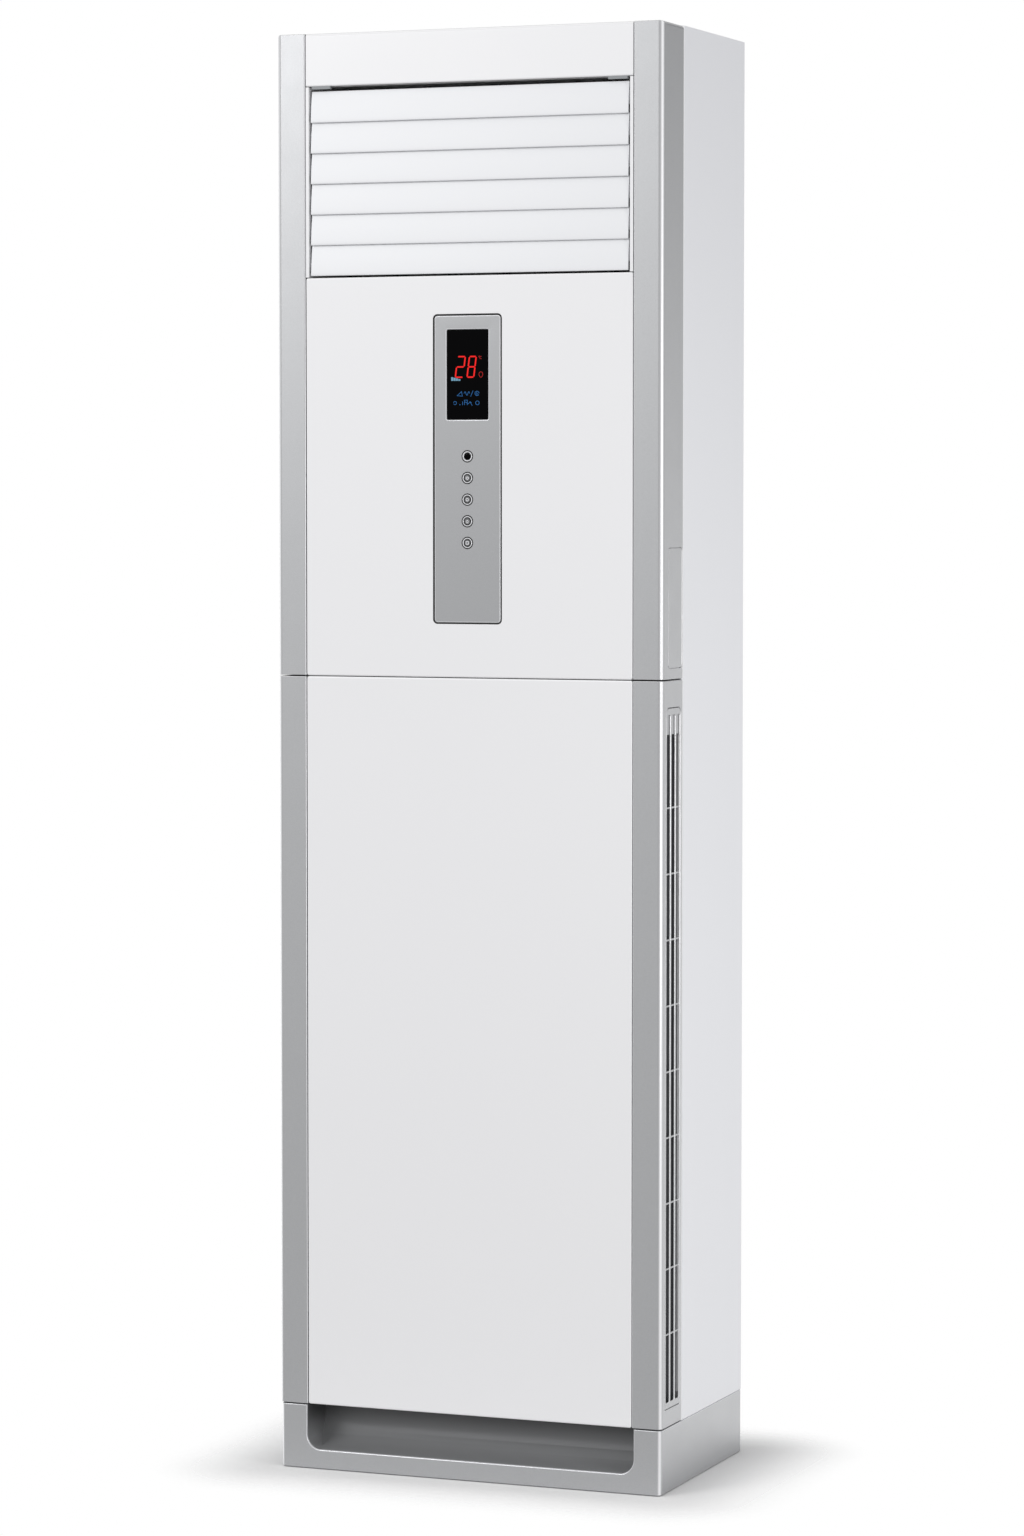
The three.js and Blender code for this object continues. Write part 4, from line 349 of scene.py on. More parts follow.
white_plastic = finish("white_moulding", (238, 238, 240), 0.32)
tint(white_plastic, cloud(white_plastic, 3, 2), 0.988, 1.0)
vary(white_plastic, "Roughness", cloud(white_plastic, 14), 0.28, 0.36)
relief(white_plastic, cloud(white_plastic, 1400, 1), 0.00001, 0.25)
paint_edge_highlights(white_plastic, (253, 253, 254))

# Painted shade: a darker copy of the white moulding for the louvre blades, which tilt up towards
# the lamps.
blade_white_shaded = finish("white_blade_painted_shade", (230, 231, 234), 0.34)
tint(blade_white_shaded, cloud(blade_white_shaded, 3, 2), 0.988, 1.0)
relief(blade_white_shaded, cloud(blade_white_shaded, 1400, 1), 0.00001, 0.25)
paint_edge_highlights(blade_white_shaded, (250, 250, 251))

silver_paint = finish("silver_paint", (181, 182, 184), 0.4, 0.55)
tint(silver_paint, cells(silver_paint, 2600), 0.93, 1.06)
vary(silver_paint, "Roughness", cloud(silver_paint, 30), 0.36, 0.44)
relief(silver_paint, cells(silver_paint, 2600), 0.00001, 0.3)
paint_edge_highlights(silver_paint, (250, 250, 252))

plate_paint = finish("plate_paint", (166, 167, 169), 0.36, 0.5)
tint(plate_paint, cells(plate_paint, 3400), 0.95, 1.05)
relief(plate_paint, cells(plate_paint, 3400), 0.00001, 0.2)

zinc_sheet = finish("galvanised_sheet", (172, 176, 179), 0.38, 0.85)
tint(zinc_sheet, cells(zinc_sheet, 90, (1, 1, 0.7)), 0.86, 1.05)
vary(zinc_sheet, "Roughness", cells(zinc_sheet, 90, (1, 1, 0.7)), 0.3, 0.5)

grey_plastic = finish("grey_moulding", (142, 145, 148), 0.5)
relief(grey_plastic, cloud(grey_plastic, 1600, 1), 0.00002, 0.4)

black_plastic = finish("black_moulding", (26, 27, 29), 0.42)
relief(black_plastic, cloud(black_plastic, 1800, 1), 0.00002, 0.4)

black_window = finish("smoked_window", (3, 3, 4), 0.12, Specular_IOR_Level=0.04)
vary(black_window, "Roughness", cloud(black_window, 40), 0.1, 0.16)

# Pale silver: the colour of the key rings and of the marks printed on the keys, and a painted
# highlight on the plate's chamfered edges.
pale_silver_and_highlight = finish("pale_silver_and_painted_highlight", (226, 227, 230), 0.3, 0.3)
relief(pale_silver_and_highlight, cloud(pale_silver_and_highlight, 900, 1, (1, 6, 1)), 0.00001, 0.3)

# A paler silver painted on the plinth's rounded scoop lip and top edge, as a painted highlight.
silver_highlight_paint = finish("silver_painted_highlight", (222, 223, 226), 0.3, 0.4)
relief(silver_highlight_paint, cells(silver_highlight_paint, 2600), 0.00001, 0.2)

key_grey = finish("key_grey", (118, 119, 121), 0.4)
relief(key_grey, cloud(key_grey, 1500, 1), 0.00001, 0.3)


def glow(name, screen, strength):
    """A lit segment: dark when off, with light of its own."""
    material = finish(name, screen, 0.4, Specular_IOR_Level=0.1)
    shader = material.node_tree.nodes["Principled BSDF"]
    shader.inputs["Base Color"].default_value = (0.01, 0.01, 0.01, 1)
    shader.inputs["Emission Color"].default_value = (*linear(*screen), 1)
    shader.inputs["Emission Strength"].default_value = strength
    return material


red_glow = glow("red_segment", (246, 24, 20), 1.0)
dim_red_glow = glow("dim_red_sign", (176, 22, 20), 1.0)
pale_glow = glow("pale_blue_bar", (120, 172, 200), 0.8)
blue_glow = glow("blue_sign", (38, 104, 168), 0.9)

dark_rubber = finish("dark_rubber", (20, 20, 21), 0.7)
relief(dark_rubber, cloud(dark_rubber, 1500, 1), 0.00003, 0.4)

# Painted shade: the inside of the plinth's scoop is darker than the silver, and darker still
# towards its top, where the front panel's overhang shades it.
recess_painted_shade = finish("shaded_recess", (158, 159, 161), 0.45, 0.3)
recess_tree, recess_place = recess_painted_shade.node_tree, spot_on(recess_painted_shade)
recess_height = add_node(recess_tree, "ShaderNodeSeparateXYZ", Vector=recess_place).outputs["Z"]
tint(recess_painted_shade, remap(recess_tree, recess_height, 0.03, 0.074, 1.0, 0.28), 0.0, 1.0)

fin_sheet = finish("fin_aluminium", (205, 208, 211), 0.34, 0.9)
fin_lines = lines(fin_sheet, 150, "X")
tint(fin_sheet, fin_lines, 0.45, 1.0)
relief(fin_sheet, fin_lines, 0.0003, 0.6)

copper = finish("drawn_copper", (184, 112, 66), 0.3, 0.95)
tint(copper, cloud(copper, 60), 0.8, 1.05)

solder_mask = finish("green_board", (30, 92, 58), 0.35)
tint(solder_mask, cells(solder_mask, 260), 0.8, 1.1)

natural_plastic = finish("natural_moulding", (216, 217, 218), 0.5)
tint(natural_plastic, cloud(natural_plastic, 20), 0.95, 1.0)

filter_net = finish("filter_net", (36, 38, 42), 0.75)
net_lines = [lines(filter_net, 260, direction) for direction in ("Y", "Z")]
net = maths(filter_net.node_tree, "MAXIMUM", *net_lines)
tint(filter_net, net, 0.25, 1.2)
relief(filter_net, net, 0.0002, 0.6)

# The finish that a piece gets from its material slot, unless it asks for another one.
finish_of_slot = {
    "white_steel": white_steel,
    "white_plastic": white_plastic,
    "silver_plastic": silver_paint,
    "zinc_steel": zinc_sheet,
    "grey_plastic": grey_plastic,
    "black_plastic": black_plastic,
    "black_window": black_window,
    "fin_aluminium": fin_sheet,
    "copper_tube": copper,
    "circuit_board": solder_mask,
    "natural_plastic": natural_plastic,
    "filter_mesh": filter_net,
}
print("finishes:", len(bpy.data.materials))

# %% [markdown]
# ## Shaping tools
#
# Most pieces are pressings and mouldings: one outline carried along an axis, with rounded ends.
# They could be cubes with bevels, but outlines made in code follow the solid's own numbers and
# keep clean rows of faces. A rounded outline, a grown outline and a stack of rings are enough
# for all of them. Holes are cut afterwards with cutters made in the same way. Sizes in this
# part are in millimetres, and a piece turns into metres as it is made.


# %% Outlines
def edges(name):
    """Lowest and highest X, Y and Z of a solid, in millimetres."""
    low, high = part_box(name)
    return [round(value / MM, 2) for pair in zip(low, high) for value in pair]


def rounded(corners, steps=6):
    """A closed outline of corners (a, b, radius), each turned into an arc."""
    points = []
    for i, (a, b, radius) in enumerate(corners):
        here = Vector((a, b))
        if not radius:
            points.append(here)
            continue
        before = (Vector(corners[i - 1][:2]) - here).normalized()
        after = (Vector(corners[(i + 1) % len(corners)][:2]) - here).normalized()
        half = before.angle(after) / 2
        centre = here + (before + after).normalized() * (radius / math.sin(half))
        start = here + before * (radius / math.tan(half)) - centre
        sweep = (math.pi - 2 * half) * (1 if before.cross(after) < 0 else -1)
        for step in range(steps + 1):
            points.append(centre + Matrix.Rotation(sweep * step / steps, 2) @ start)
    return points


def rectangle(a0, a1, b0, b1, radius, steps=6):
    return rounded([(a0, b0, radius), (a1, b0, radius), (a1, b1, radius), (a0, b1, radius)], steps)


def arc(a, b, radius, start, stop, steps=10):
    """Points along an arc; angles are in degrees, anticlockwise from the right."""
    turns = [math.radians(start + (stop - start) * i / steps) for i in range(steps + 1)]
    return [Vector((a + radius * math.cos(t), b + radius * math.sin(t))) for t in turns]


def circle(a, b, radius, sides=48):
    return arc(a, b, radius, 0, 360, sides)[:-1]


def mitres(points, closed=False):
    """For each point of a path, the step to the left that moves the whole path by 1."""
    steps = []
    for i, here in enumerate(points):
        ways = []
        if closed or i > 0:
            ways.append((here - points[i - 1]).normalized())
        if closed or i + 1 < len(points):
            ways.append((points[(i + 1) % len(points)] - here).normalized())
        normals = [Vector((-way.y, way.x)) for way in ways]
        steps.append((normals[0] + normals[-1]) / (1 + normals[0].dot(normals[-1])))
    return steps


def grown(outline, distance):
    """The outline moved out by a distance, or in by a negative one."""
    turn = 1 if sum(p.cross(q) for p, q in zip(outline, outline[1:] + outline[:1])) > 0 else -1
    return [p - step * turn * distance for p, step in zip(outline, mitres(outline, True))]


def sheet_outline(path, wall, steps=6):
    """The section of a bent sheet: `path` is its outer face as (a, b, radius), wall to its left."""
    corners = [Vector(point[:2]) for point in path]
    inner = []
    for i, (here, step) in enumerate(zip(corners, mitres(corners))):
        radius = path[i][2]
        if radius:
            turns_left = (here - corners[i - 1]).cross(corners[i + 1] - here) > 0
            radius = max(radius - wall, 0.4) if turns_left else radius + wall
        inner.append((*(here + step * wall), radius))
    return rounded([*path, *reversed(inner)], steps)


# %% Rings and pieces
def at(axis, point, along):
    a, b = point
    return {"X": (along, a, b), "Y": (a, along, b), "Z": (a, b, along)}[axis]


def ring(axis, outline, along):
    return [at(axis, point, along) for point in outline]


def slab(axis, outline, start, stop, edge=(0, 0), steps=4):
    """Rings of an outline carried along an axis, with a quarter round at each end."""
    rings = []
    for end, round_off, inward in ((start, edge[0], 1), (stop, edge[1], -1)):
        turns = [math.pi / 2 * i / steps for i in range(steps + 1)] if round_off else [math.pi / 2]
        stack = [
            ring(
                axis,
                grown(outline, -round_off * (1 - math.sin(t))),
                end + inward * round_off * (1 - math.cos(t)),
            )
            for t in turns
        ]
        rings += stack if inward > 0 else stack[::-1]
    return rings


def shape(*shells, closed=False):
    """An object made of one or more shells, each a list of rings with as many points each."""
    points, faces = [], []
    for rings in shells:
        base, count = len(points), len(rings[0])
        for one in rings:
            points += [Vector(point) * MM for point in one]
        for r in range(len(rings) if closed else len(rings) - 1):
            low, high = base + r * count, base + (r + 1) % len(rings) * count
            for i in range(count):
                j = (i + 1) % count
                faces.append((low + i, low + j, high + j, high + i))
        if not closed:
            last = base + (len(rings) - 1) * count
            faces += [tuple(range(base, base + count)), tuple(range(last, last + count))]
    mesh = bpy.data.meshes.new("shape")
    mesh.from_pydata(points, [], faces)
    builder = bmesh.new()
    builder.from_mesh(mesh)
    bmesh.ops.recalc_face_normals(builder, faces=builder.faces)
    builder.to_mesh(mesh)
    builder.free()
    return add_object("shape", mesh)


def flared(axis, outline, face, stops):
    """A cutter along an axis; each stop is (distance from a face, growth of the outline)."""
    return shape([ring(axis, grown(outline, more), face + along) for along, more in stops])


def carve(piece, *tools):
    """Cuts tools out of a piece. ("UNION", tool) joins one on, ("INTERSECT", tool) keeps both's."""
    for tool in tools:
        how, cutter = tool if isinstance(tool, tuple) else ("DIFFERENCE", tool)
        boolean = piece.modifiers.new("carve", "BOOLEAN")
        boolean.solver = "EXACT"
        boolean.operation = how
        boolean.object = cutter
    graph = bpy.context.evaluated_depsgraph_get()
    carved = bpy.data.meshes.new_from_object(piece.evaluated_get(graph))
    piece.modifiers.clear()
    piece.data = carved
    for tool in tools:
        bpy.data.objects.remove(tool[1] if isinstance(tool, tuple) else tool)
    return piece


def keep(piece, name, slot, body="cabinet", stands_for="", material=None, crease=32):
    """Names and finishes a piece, and lets it ride on its body in place of its solid."""
    piece.name = piece.data.name = name
    piece.data.materials.clear()
    piece.data.materials.append(material or finish_of_slot[slot])
    for face in piece.data.polygons:
        face.use_smooth = True
    piece.data.set_sharp_from_angle(angle=math.radians(crease))
    shading = piece.modifiers.new("flat shading", "WEIGHTED_NORMAL")
    shading.keep_sharp = True
    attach(piece, body)
    if stands_for:
        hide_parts(stands_for)
        replaced.add(stands_for)
    made.append(name)
    return piece


def keep_pair(piece, name, slot, node, body="cabinet"):
    """Keeps a right hand piece and its mirror image for the left."""
    twin = add_object(name, piece.data.copy())
    twin.data.transform(Matrix.Scale(-1, 4, (1, 0, 0)))
    twin.data.flip_normals()
    for side, half in (("right", piece), ("left", twin)):
        keep(half, f"{name}_{side}", slot, body.format(side), f"{side}_{node}")


made = []
replaced = set()

# %% [markdown]
# ## Corner trims
#
# Four silver mouldings run up the front corners, two below the seam and two above. Each is a
# bent strip: a front face, a round corner with a bright line, partly lit and partly a painted
# highlight of the silver finish, a side face, a lip that the front panel shuts against and a
# return for stiffness. The strip's section is drawn once and carried up; windows for the intake
# grille and the access cover are cut afterwards.

# %% Trim section
WALL = 2.5
TRIM_INNER = 215.5
LIP_WIDTH, LIP_DEPTH, RETURN_WIDTH, TRIM_RADIUS = 10.5, 12.3, 12, 7
_, trim_side, trim_front, trim_back, lower_z0, lower_z1 = edges("right_lower_trim")
lip, lip_x, return_x = trim_front + LIP_DEPTH, TRIM_INNER - LIP_WIDTH, trim_side - RETURN_WIDTH
front_corners = [
    (lip_x, lip, 0), (TRIM_INNER, lip, 0.6), (TRIM_INNER, trim_front, 1.4),
    (trim_side, trim_front, TRIM_RADIUS),
]
trim_path = [*front_corners, (trim_side, trim_back, 1.0), (return_x, trim_back, 0)]
trim_section = sheet_outline(trim_path, WALL, 8)


def window_cutter(outline, inner, flare, reach=258):
    """Cuts an opening into the side face, with a small rounded edge where it meets the face."""
    stops = [(inner, 0), (trim_side - flare, 0), (trim_side, flare), (reach, flare)]
    return flared("X", outline, 0, stops)


# %% Grille and cover outlines
grille_y0, grille_y1, grille_z0, grille_top = edges("right_intake_grille")[2:6]
grille_outline = rounded(
    [
        (grille_y0, grille_z0, 1.2), (grille_y1, grille_z0, 1.2),
        (grille_y1, grille_top - 1, 8), (grille_y0, grille_top - 1, 10),
    ],
    8,
)
cover_x0, cover_x1, cover_y0, cover_y1, cover_z0, cover_z1 = edges("right_side_cover")
cover_outline = rectangle(cover_y0, cover_y1, cover_z0, cover_z1, 4)
access_outline = rectangle(cover_y0 + 5, cover_y1 - 5, cover_z0 + 5, cover_z1 - 5, 2, 3)

# %% Lower trims
lower = shape(slab("Z", trim_section, lower_z0 + 0.8, lower_z1 - 0.3, (0.7, 0.7)))
carve(lower, window_cutter(grown(grille_outline, 0.9), 246, 0.3))
keep_pair(lower, "lower_trim", "silver_plastic", "lower_trim")

# %% Upper trims
block_outline = rounded(
    [
        *front_corners, (trim_side, trim_back, 1.2), (TRIM_INNER, trim_back, 1.2),
        (TRIM_INNER, lip + 4, 0), (lip_x, lip + 4, 0),
    ],
    8,
)
inner_x, inner_y = TRIM_INNER + WALL, trim_front + WALL
hollow_outline = rounded(
    [
        (inner_x, inner_y, 0.4), (trim_side - WALL, inner_y, 4.5),
        (trim_side - WALL, trim_back - WALL, 0.4), (return_x, trim_back - WALL, 0),
        (return_x, trim_back + 5, 0), (TRIM_INNER - 20, trim_back + 5, 0),
        (TRIM_INNER - 20, lip + WALL, 0), (inner_x, lip + WALL, 0.4),
    ],
    6,
)
z0, z1 = edges("right_upper_trim")[4:]
outlet_z0, outlet_z1 = edges("outlet_frame")[4:]
upper = shape(slab("Z", block_outline, z0 + 0.3, z1, (0.7, 0.9)))
hollow = shape(slab("Z", hollow_outline, z0 - 5, z1 - WALL))
lip_top = shape(slab("Z", rectangle(100, TRIM_INNER, -151, -70, 0), z1 - 2.8, 1800))
gap = rectangle(100, inner_x + 0.15, -140.5, -60, 0)
lip_break = shape(slab("Z", gap, outlet_z0 - 1, outlet_z1 + 1))
pocket = window_cutter(grown(cover_outline, 0.8), trim_side - 1.5, 0.3)
access = shape(slab("X", access_outline, 246, 260))
low, high, side = z0 - 9, z1 + 0.02, trim_side + 0.02
front_view = rounded([(100, low, 0), (side, low, 0), (side, high, 5.5), (100, high, 0)], 8)
round_top = ("INTERSECT", shape(slab("Y", front_view, -160, -60)))
carve(upper, round_top, hollow, lip_break, lip_top, pocket, access)
keep_pair(upper, "upper_trim", "silver_plastic", "upper_trim")

cover = shape(slab("X", cover_outline, cover_x0, cover_x1, (0, 0.35)))
keep_pair(cover, "access_cover", "silver_plastic", "side_cover")
print("trims:", made)

# %% [markdown]
# ## Intake grilles
#
# Air enters through a tall grille in the side of each lower trim: three slots between thin
# uprights, tied by nine crossbars that lie a little deeper. A shallow finger scoop at the top
# lets the hand tilt it out. The slots are cut from one plate, and the bars go back in as round
# rods, because on the real grille they are moulded rods and not flat strips.

# %% Grille sizes
SLOT_COUNT, SLOT_RIB, SLOT_EDGE, SLOT_TOP_MARGIN = 3, 4.0, 2.5, 33.75
BAR_COUNT = 9
slot_bottom, slot_top = grille_z0 + 7.5, grille_top - SLOT_TOP_MARGIN
slot_width = (grille_y1 - grille_y0 - 2 * SLOT_EDGE - 2 * SLOT_RIB) / SLOT_COUNT
slots = [
    (y, y + slot_width)
    for y in (grille_y0 + SLOT_EDGE + i * (slot_width + SLOT_RIB) for i in range(SLOT_COUNT))
]
bar_first, bar_last = slot_bottom + 83.1, slot_top - 87.8
bar_heights = [bar_first + i * (bar_last - bar_first) / (BAR_COUNT - 1) for i in range(BAR_COUNT)]
print("slots:", [[round(v, 1) for v in slot] for slot in slots])
print("bars:", [round(z) for z in bar_heights])


# %% Grilles
def slot_cutter(y0, y1, z0, z1, depth):
    return window_cutter(rectangle(y0, y1, z0, z1, 1.6, 4), depth, 0.5, trim_side + 3)


grille = shape(slab("X", grille_outline, trim_side - 3, trim_side, (0, 0.5)))
back_recess = rectangle(grille_y0 + 2, grille_y1 - 2, slot_bottom - 3, slot_top + 1, 1)
cutters = [shape(slab("X", back_recess, trim_side - 5, trim_side - 1.3))]
for y0, y1 in slots:
    cutters.append(slot_cutter(y0, y1, slot_bottom, slot_top, trim_side - 5))
    cutters.append(slot_cutter(y0 + 0.3, y1 - 0.3, slot_top - 3, grille_top - 9, trim_side - 1.6))
carve(grille, *cutters)
rods = [
    slab("Y", circle(trim_side - 1.7, z, 1.2, 16), grille_y0 + 1, grille_y1 - 1)
    for z in bar_heights
]
clip_x0, clip_x1 = trim_side - 5.7, trim_side - 1.5
clips = [
    slab("Z", rectangle(clip_x0, clip_x1, y, y + 2, 0.4, 3), slot_bottom + 7.5, slot_top)
    for y in (grille_y0 + 2, grille_y1 - 4)
]
carve(grille, *[("UNION", shape(shell)) for shell in rods + clips])
keep_pair(grille, "intake_grille", "silver_plastic", "intake_grille", "{}_grille")
print("grilles:", made[-2:])

# %% [markdown]
# ## Front panels and top rail
#
# The white front is three mouldings: a tall lower panel, an upper panel that carries the
# controls and a rail over the outlet. Seen in the light, each is a shallow tray with a softly
# rounded rim. The tray is one stack of rings: round the rim, down the outside, in at the back
# and up the inside.


# %% Panels
def tray(name, wall=2.5, rim=2.0):
    """A shallow tray with its open side to the back."""
    x0, x1, y0, y1, z0, z1 = edges(name)
    outer = rectangle(x0, x1, z0, z1, rim + 0.5, 4)
    inner = rectangle(x0 + wall, x1 - wall, z0 + wall, z1 - wall, 0.6, 4)
    inside = [ring("Y", inner, y1), ring("Y", inner, y0 + wall)]
    return shape(slab("Y", outer, y0, y1, (rim, 0), 6) + inside)


lower_panel = tray("lower_front_panel")
keep(lower_panel, "front_panel_lower", "white_plastic", stands_for="lower_front_panel")

PLATE_RADIUS, PLATE_FLANGE = 4.5, 5
plate_x0, plate_x1, plate_front, plate_back, plate_z0, plate_z1 = edges("control_plate")
flange_box = (plate_x0, plate_x1, plate_z0, plate_z1)
plate_box = [v - PLATE_FLANGE * way for v, way in zip(flange_box, (-1, 1, -1, 1))]
plate_outline = rectangle(*plate_box, PLATE_RADIUS, 8)
panel_face = edges("upper_front_panel")[2]
hole_flare = [(-1, 1.8), (0, 1.8), (0.2, 1.45), (0.5, 1.3), (5, 1.3)]
upper_panel = tray("upper_front_panel")
carve(upper_panel, flared("Y", plate_outline, panel_face, hole_flare))
keep(upper_panel, "front_panel_upper", "white_plastic", stands_for="upper_front_panel")

# %% Top rail
x0, x1, y0, y1, z0, z1 = edges("top_rail")
rail_section = rounded(
    [
        (y0, z0, 1.8), (y0 + 12, z0, 0.5), (y0 + 12, z1 - WALL, 0.5),
        (y1, z1 - WALL, 0), (y1, z1, 0.8), (y0, z1, 4),
    ],
    6,
)
rail = shape(slab("X", rail_section, x0, x1, (0.9, 0.9)))
hollow = shape(slab("X", rectangle(y0 + WALL, 0, z0 + WALL, z1 - 3, 0), x0 + WALL, x1 - WALL))
keep(carve(rail, hollow), "top_rail_cover", "white_plastic", stands_for="top_rail")
print("front:", made[-3:])

# %% [markdown]
# ## Louvres
#
# Six blades close the outlet like the boards of a wall: the foot of each stands a little in
# front of the head of the next, which draws the thin grey lines across the outlet. A blade has
# a gently bowed face, ears at both ends, a pin on the right and a crank on the left. It is
# built at its closed place, and turns with its own body.

# %% Blade section
LOUVRE_TILT = math.radians(6)
PIVOT_BACK, PIN_RADIUS, HUB_RADIUS = 14, 2.5, 5
CRANK_REACH, CRANK_END_RADIUS, LINK_EYE_RADIUS = 14, 4, 1.85
BLADE_HALF, BLADE_WALL, BLADE_BOW, BLADE_END = 19.3, 2.4, 0.45, 208.1
EAR_WIDTH, EAR_HALF = 3, 9
pivots = {
    joint["child"]: [round(v / MM, 2) for v in joint["pos_m"]]
    for joint in frame["record"]["behaviour"]["joints"]
    if "pos_m" in joint
}
pivot_y = pivots["louver_1"][1]


def blade_section(z, half=BLADE_HALF, wall=BLADE_WALL, steps=10):
    """The blade seen from the side: bowed face, thick foot with a drip edge, thin head."""
    foot = [(1.9, -half), (0.9, -half), (0.25, -half + 0.3), (0.0, -half + 1.0)]
    face = [
        (-BLADE_BOW * (1 - (2 * i / steps - 1) ** 2), -half + 2 * half * i / steps)
        for i in range(1, steps)
    ]
    head = [(0.1, half - 0.8), (0.45, half - 0.15), (1.0, half)]
    back = [
        (wall - 0.6, half - 0.4), (wall, half - 3), (wall - 0.4, 1.6), (wall + 2.4, 1.4),
        (wall + 2.6, 1.1), (wall + 2.6, -1.1), (wall + 2.4, -1.4), (wall - 0.4, -1.6),
        (wall, -half + 0.7),
    ]
    lean, middle = Matrix.Rotation(-LOUVRE_TILT, 2), Vector((pivot_y - PIVOT_BACK, z))
    return [lean @ Vector(p) + middle for p in foot + face + head + back]


# %% Make the louvres
def louvre(number):
    name = f"louver_{number}"
    z = pivots[name][2]
    half, right_end = BLADE_END, edges(name)[1]
    blade = shape(slab("X", blade_section(z), -half, half, (0.35, 0.35), 2))
    lean, face = EAR_HALF * math.tan(LOUVRE_TILT), pivot_y - PIVOT_BACK + 1.2
    hub = arc(pivot_y, z, HUB_RADIUS, -90, 90)
    ear = [Vector((face - lean, z - EAR_HALF)), *hub, Vector((face + lean, z + EAR_HALF))]
    crank = [
        *arc(pivot_y, z, HUB_RADIUS, 90, 270),
        *arc(pivot_y + CRANK_REACH, z, CRANK_END_RADIUS, -90, 90),
    ]
    pin = circle(pivot_y, z, PIN_RADIUS, 24)
    parts = [
        slab("X", ear, -half, -half + EAR_WIDTH, (0, 0.3), 2),
        slab("X", ear, half - EAR_WIDTH, half, (0.3, 0), 2),
        slab("X", pin, half - 1.5, right_end, (0, 0.4), 2),
        slab("X", pin, -216.4, -half + 1.5),
        slab("X", crank, -217.7, -214.9, (0.3, 0.3), 2),
    ]
    eye = shape(slab("X", circle(pivot_y + CRANK_REACH, z, LINK_EYE_RADIUS, 24), -220, -212))
    carve(blade, *[("UNION", shape(part)) for part in parts], eye)
    keep(blade, f"louvre_blade_{number}", "white_plastic", name, name, blade_white_shaded, 40)


for number in range(1, 7):
    louvre(number)
stops = [slab("Z", rectangle(a, a + 25, -149, -144, 0.8, 3), 1712, 1715.6) for a in (-207, 182)]
keep(shape(*stops), "blade_end_stops", "grey_plastic")
print("louvres:", made[-7:])

# %% [markdown]
# ## Control plate
#
# A silver plate lies flush in the upper panel, with a thin black seal all round. It frames the
# dark window, a receiver lens and four round keys, each in its own raised ring. The edges are
# real chamfers that catch the light from the side, and they also get a paler silver: a painted
# highlight for the light line round them, which the eye reads as thickness.

# %% Plate sizes
LENS_BORE, KEY_BORE = 4.7, 5.3
plate_face = plate_front + 0.4
pane_left, pane_right, pane_face, pane_back, pane_low, pane_high = edges("display_window")
window_outline = rectangle(pane_left, pane_right, pane_low, pane_high, 1.5, 4)
see_through = rectangle(pane_left + 2, pane_right - 2, pane_low + 2, pane_high - 2, 0.8, 3)
key_nodes = ["receiver_lens", "button_1", "button_2", "button_3", "button_4"]
key_heights = [sum(edges(name)[4:6]) / 2 for name in key_nodes]
print("keys at", [round(z, 2) for z in key_heights])


def turned(profile, face, z, x=0, sides=60):
    """Rings of (radius, distance behind a face) points turned about a line to the back."""
    return [ring("Y", circle(x, z, radius, sides), face + y) for radius, y in profile]


# %% Plate
plate = shape(slab("Y", grown(plate_outline, -0.6), plate_face, plate_face + 5.1, (1.1, 0), 3))
flange_outline = grown(plate_outline, PLATE_FLANGE)
tools = [("UNION", shape(slab("Y", flange_outline, panel_face + 2.8, panel_face + 4.8)))]
groove = [(7.6, -1), (7.6, 0.8), (6.1, 0.8), (6.1, -1)]
tools += [shape(turned(groove, plate_face, z), closed=True) for z in key_heights]
bore_flare = [(0.45, -1), (0.45, 0), (0.12, 0.15), (0, 0.45), (0, 8)]
for name, z in zip(key_nodes, key_heights):
    bore = LENS_BORE if name == "receiver_lens" else KEY_BORE
    tools.append(shape(turned([(bore + more, y) for more, y in bore_flare], plate_face, z)))
window_flare = [(-1, 1.5), (0, 1.5), (0.4, 0.75), (0.8, 0.35), (2.3, 0.35)]
tools.append(flared("Y", window_outline, plate_face, window_flare))
tools.append(flared("Y", see_through, plate_face, [(1, 0), (9, 0)]))
carve(plate, *tools)
posts = [
    ("UNION", shape(slab("Y", circle(x, z, 3, 24), plate_face + 4, plate_back, (0, 0.4), 2)))
    for x in (-38, 38)
    for z in (plate_z0 + 75, pane_high + 6)
]
carve(plate, *posts)
keep(plate, "plate_with_keys", "silver_plastic", "cabinet", "control_plate", plate_paint)

# The plate's chamfers get the pale silver as a painted highlight of the light line round its
# openings.
plate.data.materials.append(pale_silver_and_highlight)
for face in plate.data.polygons:
    slanting = 0.12 < -face.normal.y < 0.97
    if slanting and face.center.y < (plate_face + 1.3) * MM:
        face.material_index = 1

# %% Seals and rings
seal_loop = [(1.25, 0.4), (1.25, 2.6), (-0.7, 2.6), (-0.7, 1.0)]
seal = [ring("Y", grown(plate_outline, more), panel_face + y) for more, y in seal_loop]
keep(shape(seal, closed=True), "plate_seal", "black_plastic", material=dark_rubber)
seal_profile = [(7.5, 0.45), (7.5, 1.1), (6.2, 1.1), (6.2, 0.55)]
ring_profile = [(5.05, 1.0), (5.05, 0.25), (5.3, 0), (5.95, 0), (6.2, 0.25), (6.2, 1.0)]
seals, rings = (
    shape(*[turned(profile, panel_face, z) for z in key_heights], closed=True)
    for profile in (seal_profile, ring_profile)
)
keep(seals, "ring_seals", "black_plastic", material=dark_rubber)
keep(rings, "key_rings", "silver_plastic", material=pale_silver_and_highlight)

# %% Window, lens and keys
pane = shape(slab("Y", window_outline, pane_face, pane_back, (0.4, 0), 3))
keep(pane, "window_pane", "black_window", stands_for="display_window")

